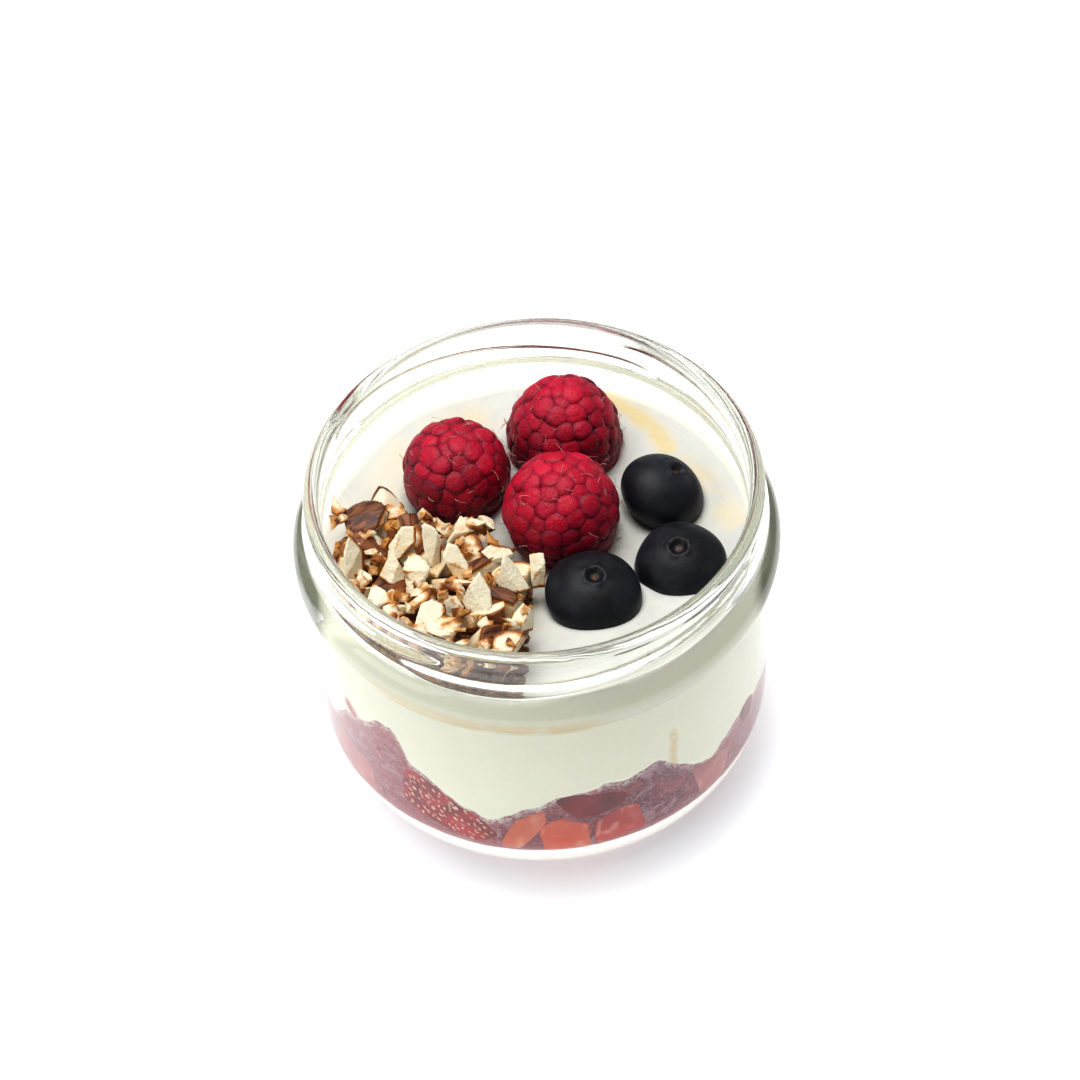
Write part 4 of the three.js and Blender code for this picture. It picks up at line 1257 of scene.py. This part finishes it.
def almond_bit(seed, fineness, reach=(1.1, 4.2), start=None, cuts=None, crisp=34.0):
    """Points, faces and notes of a bit. A cut is its direction, its distance from the middle of the bit, and
    1 if it is skin."""
    rng = chance(seed)
    ball = bmesh.new()
    bmesh.ops.create_icosphere(ball, subdivisions=fineness, radius=1)
    rays = unit([v.co for v in ball.verts])
    faces = [tuple(v.index for v in f.verts) for f in ball.faces]
    ball.free()
    if start is None:
        start = unit(rng.normal(size=3)) * KERNEL * rng.uniform(0.45, 0.72)
    middle = np.array(start)
    if cuts is None:
        axis = unit(rng.normal(size=3))
        ways = unit(rng.normal(size=(rng.integers(5, 9), 3)))
        ways[0] = -unit(middle / KERNEL + 1e-6)
        cuts = [(way, mix(*reach, abs(way @ axis) ** 1.5) * rng.uniform(0.75, 1.2), 0) for way in ways]
    # where a ray from the middle meets the kernel's skin
    a = ((rays / KERNEL) ** 2).sum(1)
    b = (rays * middle / KERNEL**2).sum(1)
    c = ((middle / KERNEL) ** 2).sum() - 1
    ends, on_hide = [(-b + np.sqrt(b * b - a * c)) / a], [1]
    for way, distance, hide in cuts:
        along = rays @ unit(way)
        ends.append(np.where(along > 1e-3, distance / np.maximum(along, 1e-3), 60.0))
        on_hide.append(hide)
    ends = np.minimum(np.array(ends), 60.0)
    length = -np.log(np.exp(-crisp * (ends - ends.min(0))).sum(0)) / crisp + ends.min(0)
    points = rays * length[:, None]
    where = points + middle
    coarse = np.array([noise.fractal(Vector(p * 0.5 + seed), 1.0, 2.0, 3) for p in where])
    fine = np.array([noise.fractal(Vector(p * 2.2 + seed), 1.0, 2.0, 3) for p in where])
    off_hide = np.min([e for e, hide in zip(ends, on_hide) if hide], axis=0) - ends.min(0)
    order = np.sort(ends, axis=0)
    notes = {
        "skin": (off_hide < 0.06) * 1.0,
        "rind": np.clip(1 - off_hide / 1.3, 0, 1),
        "edge": np.clip(1 - (order[1] - order[0]) / 0.5, 0, 1),
    }
    points = points + rays * (0.10 * coarse + 0.045 * fine)[:, None]
    return points, faces, notes, where


def almond_kind(number, bit):
    points, faces, notes, where = bit
    made = piece("kind_%02d_bit" % number, points, faces)
    for label, values in notes.items():
        note(made, label, values)
    made.data.polygons.foreach_set("use_smooth", [len(faces) > 100] * len(faces))
    kernel = made.data.attributes.new("kernel", "FLOAT_VECTOR", "POINT")
    kernel.data.foreach_set("vector", np.ravel(where) * MM)
    return made


BITS = [almond_bit(300 + i, 5) for i in range(16)]
SMALL_BITS = [almond_bit(400 + i, 4, reach=(0.7, 2.3)) for i in range(8)]
CRUMBS = [almond_bit(500 + i, 2, reach=(0.35, 1.5), crisp=40.0) for i in range(8)]

# %% [markdown]
# Some bits stand out in front: a drop-shaped one, tall slivers, and a half with its skin on. Their faces
# are drawn as outlines in millimetres and turned up to the front. Each side of the outline becomes a
# cutting plane, and two planes at a tilt give the face a ridge, as a knife leaves it.

# %% Bits that stand out
UP_TO_FRONT = np.array([0.0, -0.652, 0.758])


def standing(at, spin, lean, thick, tilt, skins, corners):
    """Place, turn in degrees, lean of the face, thickness, tilt of its two planes, sides that keep their
    skin, and the outline."""
    return {
        "at": at, "spin": spin, "lean": lean, "thick": thick, "tilt": tilt, "skins": skins, "corners": corners
    }


STANDING = [
    standing(
        (-10.2, -20.5), 4, (0.0, 0.0), 3.2, 0.22, (),
        [(0.3, 4.6), (2.5, 1.2), (2.7, -1.8), (1.0, -4.0), (-1.4, -3.4), (-2.9, -1.0)],
    ),
    standing(
        (-17.6, -5.6), -3, (0.15, -0.35), 3.0, -0.34, (2,),
        [(-0.3, 5.2), (1.3, 3.4), (1.9, 0.0), (1.0, -3.6), (-0.8, -5.0), (-1.7, -1.0), (-1.5, 3.0)],
    ),
    standing(
        (-22.6, -3.2), 32, (-0.2, 0.1), 3.4, 0.3, (0, 1, 2),
        [(0.0, 4.2), (2.2, 2.0), (2.0, -2.4), (0.2, -4.2), (-1.6, -1.6), (-1.5, 2.2)],
    ),
    standing(
        (-31.0, -7.0), 6, (0.3, -0.4), 2.6, -0.2, (0, 1),
        [(0.2, 5.2), (2.2, 1.0), (2.0, -3.8), (-1.8, -4.2), (-1.8, 0.5)],
    ),
    standing(
        (-4.6, -15.6), 8, (0.2, 0.05), 3.4, 0.4, (2,),
        [(-0.8, 4.8), (1.2, 2.0), (3.4, -2.8), (-3.2, -3.0), (-2.6, -0.6)],
    ),
    standing(
        (-23.6, -12.6), -6, (-0.1, -0.2), 2.8, -0.3, (2,),
        [(-0.2, 4.2), (1.4, 1.0), (2.6, -3.6), (-3.2, -0.8)],
    ),
    standing(
        (-13.4, -10.0), -20, (0.1, -0.2), 2.4, 0.2, (3,),
        [(0.4, 4.4), (1.8, 2.8), (1.6, -1.0), (-0.6, -4.6), (-2.0, -2.4), (-1.6, 2.6)],
    ),
    standing(
        (-3.4, -24.6), 24, (0.25, 0.1), 3.0, -0.4, (2, 3),
        [(0.0, 3.4), (2.4, 1.0), (2.6, -1.6), (-2.6, -2.2), (-2.2, 0.6)],
    ),
    standing(
        (-6.6, -7.6), -70, (0.1, -0.2), 2.4, 0.3, (1,),
        [(0.0, 3.4), (2.2, 1.6), (2.0, -1.6), (0.0, -3.2), (-1.4, 0.0)],
    ),
    standing(
        (-0.6, -12.0), 14, (0.1, 0.0), 2.8, -0.25, (2,),
        [(-1.6, 3.2), (1.2, 3.4), (2.4, -2.8), (-0.4, -3.0)],
    ),
]


def standing_bit(number, spot):
    tilt, thick, corners = spot["tilt"], spot["thick"], spot["corners"]
    cuts = [
        ((tilt, 0.15, 1), thick * 0.45, 0),
        ((-1.6 * tilt, -0.25, 1), thick * 0.5, 0),
        ((0.1, -0.15, -1), thick * 0.5, 0),
    ]
    for side, ((ax, ay), (bx, by)) in enumerate(zip(corners, corners[1:] + corners[:1])):
        way = unit((ay - by, bx - ax, -0.35 * math.hypot(bx - ax, by - ay)))
        cuts.append((way, float(np.dot((ax, ay, thick * 0.5), way)), 1 if side in spot["skins"] else 0))
    return almond_bit(600 + number, 5, start=(0, 0, 0), cuts=cuts)


def standing_turn(spot):
    lean = spot["lean"]
    normal = unit(UP_TO_FRONT + np.array([lean[0], 0, lean[1]]))
    side = unit(np.cross((0, 0, 1), -normal) * -1)
    up = np.cross(normal, side)
    angle = math.radians(-spot["spin"])
    x_axis = math.cos(angle) * side + math.sin(angle) * up
    y_axis = -math.sin(angle) * side + math.cos(angle) * up
    return np.stack([x_axis, y_axis, normal], axis=1)


STANDING_BITS = [standing_bit(i, spot) for i, spot in enumerate(STANDING)]

# %% [markdown]
# ## The heap
# The bits lie where they would fall. A height map of the cream and the berries is kept as a grid. Each
# bit tries a few turns, drops straight down until it touches the grid, keeps the turn in which it lies
# lowest, and is then added to the grid for the next one. The heap stays under the lip, so a bit that
# would stand higher finds no place.

# %% Let the bits fall
HEAP_SIDE, CELL = 84, 0.3  # the side of the grid and of one cell of it
CELLS = int(HEAP_SIDE / CELL)
ALMOND_LEFT, ALMOND_RIGHT, ALMOND_CORE = -101, -5, 1.5
NO_ROOM = 900.0  # height of the cells that a berry or the glass takes up
BERRY_ROOM, GLASS_ROOM = 0.3, 35.3
POUR_RADIUS, THICK_BED = 35.5, 2.2
CEILING_MIDDLE, CEILING_FRONT = 51.5, 58.0  # the heap stays under these heights
SINK, STANDING_SINK = 0.5, 1.6  # how far a bit sinks into what it lies on


def almond_depth(x, y):
    """How thick the heap's bed of crumbs is over the cream."""
    angle, radius = angle_of(x, y), np.hypot(x, y)
    left = smooth(ALMOND_LEFT - 4, ALMOND_LEFT + 16, angle)
    right = smooth(ALMOND_RIGHT + 3, ALMOND_RIGHT - 10, angle)
    at_glass = mix(smooth(35.6, 33.4, radius), 1, smooth(-40, -26, angle))
    inner = smooth(8, 15, np.hypot(x - 3, y - 2))
    back = smooth(12, 5, y + np.abs(x + 24) * 0.3)
    return ALMOND_CORE * left * right * at_glass * inner * back


def cell_of(x, y):
    i = np.clip(((np.asarray(x) + HEAP_SIDE / 2) / CELL).astype(int), 0, CELLS - 1)
    j = np.clip(((np.asarray(y) + HEAP_SIDE / 2) / CELL).astype(int), 0, CELLS - 1)
    return i, j


def empty_heap():
    centre = (np.arange(CELLS) + 0.5) * CELL - HEAP_SIDE / 2
    x, y = np.meshgrid(centre, centre, indexing="ij")
    height = cream_top(x, y) + almond_depth(x, y)
    for berry in BERRIES.values():
        away = np.hypot(x - berry["at"][0], y - berry["at"][1])
        height = np.where(away < berry["radius"] + BERRY_ROOM, NO_ROOM, height)
    return np.where(np.hypot(x, y) > GLASS_ROOM, NO_ROOM, height)


HEAP = empty_heap()


def rest_height(points, x, y, may_lean_over=False):
    """How high a bit comes to rest at x, y, and the cells under it. One that may lean over a berry's room
    isn't lifted by it."""
    cells = cell_of(points[:, 0] + x, points[:, 1] + y)
    under = HEAP[cells]
    if may_lean_over:
        under = np.where(under < NO_ROOM, under, -NO_ROOM)
    return float((under - points[:, 2]).max()), cells


def any_turn(rng, flatness):
    """A random turn. With more flatness the bit lies flatter."""
    spin, tip, roll = rng.uniform(0, 2 * math.pi), rng.normal(0, 1.2 - flatness), rng.uniform(0, 2 * math.pi)
    return np.array(Euler((tip, roll, spin)).to_matrix())


def settle(bits, kind, x, y, size, turn, sink=SINK, may_lean_over=False):
    """Lets a bit fall, adds it to the grid and gives back the start of its mark."""
    points = bits[kind][0] * size @ turn.T
    z, cells = rest_height(points, x, y, may_lean_over)
    z -= sink
    np.maximum.at(HEAP, cells, points[:, 2] + z)
    return (x, y, z), turn, size, kind


def heap_ceiling(y):
    return mix(CEILING_MIDDLE, CEILING_FRONT, smooth(-3, -30, y))


def pour(bits, count, sizes, seed, keep_in, tries=9):
    """Pours up to count bits. keep_in is how thick the bed has to be under one, as a share of a thick bed."""
    rng = chance(seed)
    marks = []
    guard = 0
    while len(marks) < count and guard < 60 * count:
        guard += 1
        angle, radius = rng.uniform(ALMOND_LEFT, ALMOND_RIGHT), POUR_RADIUS * math.sqrt(rng.uniform(0.05, 1))
        x, y = (float(v) for v in round_the_jar(angle, radius))
        if almond_depth(x, y) < keep_in * ALMOND_CORE / THICK_BED:
            continue
        kind, size = int(rng.integers(len(bits))), rng.uniform(*sizes)
        best = None
        for _ in range(tries):
            turn = any_turn(rng, 0.3)
            points = bits[kind][0] * size @ turn.T
            z, _ = rest_height(points, x, y)
            top = z + points[:, 2].max()
            if top < heap_ceiling(y) and (best is None or z + top < best[0]):
                best = (z + top, turn)
        if best is not None:
            marks.append((*settle(bits, kind, x, y, size, best[1]), rng.uniform()))
    return marks


large_marks = pour(BITS, 24, (0.9, 1.3), 67, keep_in=0.8)
standing_marks = []
for i, spot in enumerate(STANDING):
    turn = standing_turn(spot)
    mark = settle(STANDING_BITS, i, *spot["at"], 1.0, turn, sink=STANDING_SINK, may_lean_over=True)
    standing_marks.append((*mark, 0.2))
    print("standing bit", i, "rests at", [round(float(v), 1) for v in mark[0]])
small_marks = pour(SMALL_BITS, 40, (0.9, 1.4), 63, keep_in=0.3)
crumb_marks = pour(CRUMBS, 120, (0.6, 1.3), 64, keep_in=0.05, tries=3)
print("almond bits:", len(large_marks), "large,", len(small_marks), "small,", len(crumb_marks), "crumbs")

# %% [markdown]
# The cut faces are cream white. Toasting turns their edges and some patches orange-brown, and the papery
# skin is brown with darker wrinkles that run along the kernel. The bit keeps each point's place in its
# kernel, so the wrinkles follow the kernel however the bit lies.

# %% Finish of the almonds


def toasted_almond(name, roasted=0.0):
    finish = Finish(
        name, IOR=1.45, Subsurface_Weight=0.1, Subsurface_Radius=(1.0, 0.7, 0.4), Subsurface_Scale=0.0008
    )
    kernel = finish.add("Attribute", {"attribute_name": "kernel"}, output="Vector")
    along = finish.add("Mapping", sockets={0: kernel, 3: (120.0, 900.0, 900.0)})
    looks = {"Scale": 1.0, "Detail": 4.0, "Distortion": 0.4}
    wrinkles = finish.add("TexNoise", sockets={"Vector": along, **looks})
    skin, rind, edge, tone = (finish.kept(name) for name in ("skin", "rind", "edge", "tone"))
    cloud, fine = finish.noise(3.6, detail=3.0), finish.noise(0.45, detail=4.0)
    colour = finish.blend(fine.ramp(0.35, 0.7) * 0.3, (0.95, 0.87, 0.65), (0.84, 0.69, 0.41))
    colour = finish.blend((cloud + tone * 0.2).ramp(0.52, 0.78) * 0.6, colour, (0.80, 0.58, 0.28))
    toast = rind * 0.62 + edge * cloud * 0.45 + cloud * 0.65 + tone * 0.22 + fine * 0.2 + (roasted + 0.12)
    colour = finish.blend(toast.ramp(0.72, 0.96), colour, (0.62, 0.28, 0.060))
    colour = finish.blend(toast.ramp(0.92, 1.15) * 0.9, colour, (0.20, 0.050, 0.012))
    hide = finish.blend(wrinkles.ramp(0.35, 0.68), (0.075, 0.022, 0.014), (0.30, 0.11, 0.04))
    colour = finish.blend(skin.ramp(0.35, 0.6), colour, hide)
    relief = wrinkles * skin * 1.5 + fine + 1.5 * cloud
    return finish.set(Base_Color=colour, Roughness=0.62 - 0.2 * skin, Normal=finish.bump(relief, 0.12))


def almond_pieces(name, bits, marks, material):
    return copies(name, [almond_kind(number, bit) for number, bit in enumerate(bits)], marks, material)


ALMOND = toasted_almond("toasted_almond")
large_bits = almond_pieces("almond_bits_large", BITS, large_marks, ALMOND)
standing_bits = almond_pieces("almond_bits_standing", STANDING_BITS, standing_marks, ALMOND)
small_bits = almond_pieces("almond_bits_small", SMALL_BITS, small_marks, ALMOND)
crumbs = almond_pieces("almond_crumbs", CRUMBS, crumb_marks, toasted_almond("almond_crumb", 0.2))
for made in (large_bits, standing_bits, small_bits, crumbs):
    print(made.name, sum(len(p.vertices) - 2 for p in made.data.polygons), "triangles")

# %% [markdown]
# Between the bits lies a bed of crushed almond, sticky and dark brown, partly its own brown and partly
# painted shade in the gaps between the bits. It is a closed sheet over the cream.

# %% The bed of crushed almond


def almond_bed(material):
    angles = np.linspace(ALMOND_LEFT - 4, ALMOND_RIGHT + 3, 150)
    shares = np.linspace(0, 1, 70)
    a, s = np.meshgrid(angles, shares, indexing="ij")
    x, y = round_the_jar(a, mix(7.0, 35.7, s))
    spots = [Vector((px * 0.6, py * 0.6, 3.0)) for px, py in zip(x.ravel(), y.ravel())]
    lumps = np.array([noise.fractal(spot, 1.0, 2.0, 4) for spot in spots]).reshape(x.shape)
    depth = almond_depth(x, y)
    top = cream_top(x, y) - 0.25 + depth + 0.9 * lumps * np.clip(depth, 0, 1)
    low = np.minimum(cream_top(x, y), top) - 0.5
    grid = np.stack([x, y, top], -1).reshape(-1, 3), np.stack([x, y, low], -1).reshape(-1, 3)
    rows, columns = x.shape

    def at(i, j, sheet):
        return sheet * rows * columns + i * columns + j

    faces = []
    for i in range(rows - 1):
        for j in range(columns - 1):
            faces.append((at(i, j, 0), at(i + 1, j, 0), at(i + 1, j + 1, 0), at(i, j + 1, 0)))
            faces.append((at(i, j, 1), at(i, j + 1, 1), at(i + 1, j + 1, 1), at(i + 1, j, 1)))
    border = [(i, 0) for i in range(rows)] + [(rows - 1, j) for j in range(1, columns)]
    border += [(i, columns - 1) for i in range(rows - 2, -1, -1)]
    border += [(0, j) for j in range(columns - 2, 0, -1)]
    for (i, j), (k, l) in zip(border, border[1:] + border[:1]):
        faces.append((at(i, j, 0), at(i, j, 1), at(k, l, 1), at(k, l, 0)))
    return piece("almond_bed_crushed", np.concatenate(grid), faces, material)


def crushed_almond():
    finish = Finish("crushed_almond", Roughness=0.55)
    cloud, fine = finish.noise(1.6, detail=5.0, rough=0.65), finish.noise(0.45, detail=3.0)
    # dark brown: partly crushed almond's own colour, partly painted shade in the gaps between the bits
    colour = finish.blend(cloud.ramp(0.4, 0.62), (0.12, 0.035, 0.012), (0.42, 0.19, 0.055))
    colour = finish.blend(fine.ramp(0.55, 0.7) * 0.7, colour, (0.75, 0.55, 0.30))
    return finish.set(Base_Color=colour, Normal=finish.bump(cloud * 2 + fine, 0.5))


bed = almond_bed(crushed_almond())
print("bed of crushed almond:", len(bed.data.polygons), "faces")

# %% [markdown]
# ## Light and floor
# The jar stands on plain white, lit softly from above and behind. Clear glass shows only what it bends
# into view, so the sky darkens towards the horizon and the floor ends in a darker ring: that draws the
# dark lines in the neck and the collar. The white paper also glows a little by itself, so that it stays
# white. Round the foot it glows less, a painted contact shadow, and is tinted cool, a painted tint
# against the red light that the fruit throws on it. Under the foot it glows more, painted light that
# brightens the glass heel.

# %% Floor, lamps and sky
FLOOR_REACH, FLOOR_MIDDLE, FLOOR_BRIGHT, FLOOR_DIM = 1500.0, 62.0, 185.0, 245.0
PAPER, PAPER_CLOUD = (0.90, 0.90, 0.905), (0.93, 0.93, 0.93)
# a cool tint painted round the foot, against the red light bounced from the fruit
PAPER_COUNTER_TINT_AT_FOOT, PAPER_FAR = (0.83, 0.91, 0.915), (0.22, 0.22, 0.22)
# GLOW_UNDER_FOOT is painted light under the foot, which brightens the glass heel
GLOW, GLOW_UNDER_FOOT, GLOW_FAR = (1, 1, 1), (1.3, 1.3, 1.3), (0.03, 0.03, 0.03)
# how much the painted contact shadow dims the glow round the foot
SHADE_AT_FOOT = 0.48
SKY_LOW, SKY_HIGH = (0.03, 0.032, 0.028, 1), (0.42, 0.425, 0.45, 1)
SKY_TOP_AT, SKY_STRENGTH = 0.6, 0.75


def floor():
    finish = Finish("white_paper", Roughness=0.9, Emission_Strength=0.48)
    x, y, _ = finish.axes()
    far = ((x * x + (y - FLOOR_MIDDLE) * (y - FLOOR_MIDDLE)) ** 0.5).ramp(FLOOR_BRIGHT, FLOOR_DIM)
    paper = finish.blend(finish.noise(40.0, detail=2.0), PAPER, PAPER_CLOUD)
    foot = (x * x + y * y) ** 0.5
    # painted tint against the red bounce light, round the foot
    paper = finish.blend(1 - foot.ramp(36.0, 60.0), paper, PAPER_COUNTER_TINT_AT_FOOT)
    # painted contact shadow: less glow round the foot
    near = 1 - foot.ramp(37.0, 50.0)
    glow = finish.blend(near * SHADE_AT_FOOT, GLOW, (0, 0, 0))
    # painted light: more glow under the foot, for the glass heel
    glow = finish.blend(1 - foot.ramp(FOOT_OUTER + 0.5, FOOT_OUTER + 3.5), glow, GLOW_UNDER_FOOT)
    material = finish.set(
        Base_Color=finish.blend(far, paper, PAPER_FAR), Emission_Color=finish.blend(far, glow, GLOW_FAR)
    )
    spokes = np.arange(96) * 3.75
    rings = [ring_at(spokes, r, 0.0) for r in (200.0, 400.0, 700.0, FLOOR_REACH)]
    points, faces = net([np.array([[0, 0, 0]]), *rings])
    return piece("floor", points, faces, material)


def softbox(name, at, size, power, colour=(1, 1, 1)):
    lamp = bpy.data.objects.new(name, bpy.data.lights.new(name, "AREA"))
    lamp.data.shape = "RECTANGLE"
    lamp.data.size, lamp.data.size_y = size
    lamp.data.energy = power
    lamp.data.color = colour
    place = Vector(at)
    aim = (Vector((0, 0, 0.04)) - place).to_track_quat("-Z", "Y").to_matrix().to_4x4()
    lamp.matrix_world = Matrix.Translation(place) @ aim
    bpy.context.scene.collection.objects.link(lamp)
    return lamp


def sky():
    world = bpy.data.worlds.new("studio")
    bpy.context.scene.world = world
    world.use_nodes = True
    nodes, links = world.node_tree.nodes, world.node_tree.links
    place = nodes.new("ShaderNodeTexCoord")
    parts = nodes.new("ShaderNodeSeparateXYZ")
    ramp = nodes.new("ShaderNodeValToRGB")
    links.new(place.outputs["Generated"], parts.inputs[0])
    links.new(parts.outputs["Z"], ramp.inputs[0])
    links.new(ramp.outputs[0], nodes["Background"].inputs["Color"])
    low, high = ramp.color_ramp.elements
    low.position, low.color = 0.0, SKY_LOW
    high.position, high.color = SKY_TOP_AT, SKY_HIGH
    nodes["Background"].inputs["Strength"].default_value = SKY_STRENGTH


ground = floor()
softbox("lamp_above", (-0.15, 0.30, 1.10), (0.9, 0.9), 11.0)
softbox("lamp_left", (-0.75, -0.35, 0.55), (0.6, 0.6), 1.8, (0.96, 0.98, 1.0))
sky()
scene = bpy.context.scene
scene.view_settings.view_transform = "Standard"
scene.view_settings.look = "Medium High Contrast"
scene.cycles.max_bounces = 16
scene.cycles.transmission_bounces = 8
scene.cycles.transparent_max_bounces = 8

# %% [markdown]
# ## On the one body
# Every piece rides on the one body, and the imported piece that it stands for is hidden.

# %% Ride and hide the imported pieces
def strawberry_slot(name):
    return "strawberry_skin" if "slice" in name else "strawberry_flesh"


almonds = (large_bits, standing_bits, small_bits, crumbs, bed)
for made, node, slot in [
    (jar, "glass_jar", "jar_glass"), (cream, "mascarpone_cream", "mascarpone_cream"),
    (mash, "strawberry_mash", "strawberry_mash"),
    *((made, name, strawberry_slot(name)) for name, made in strawberries.items()),
    (seeds, "strawberry_slice_left", "strawberry_skin"),
    *((made, name, "raspberry") for name, made in raspberries.items()),
    *((made, name, "raspberry") for name, made in raspberry_hairs.items()),
    *((made, name, "blueberry") for name, made in blueberries.items()),
    *((made, "chopped_almonds", "chopped_almonds") for made in almonds),
]:
    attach(made, "root")
    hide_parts(node)
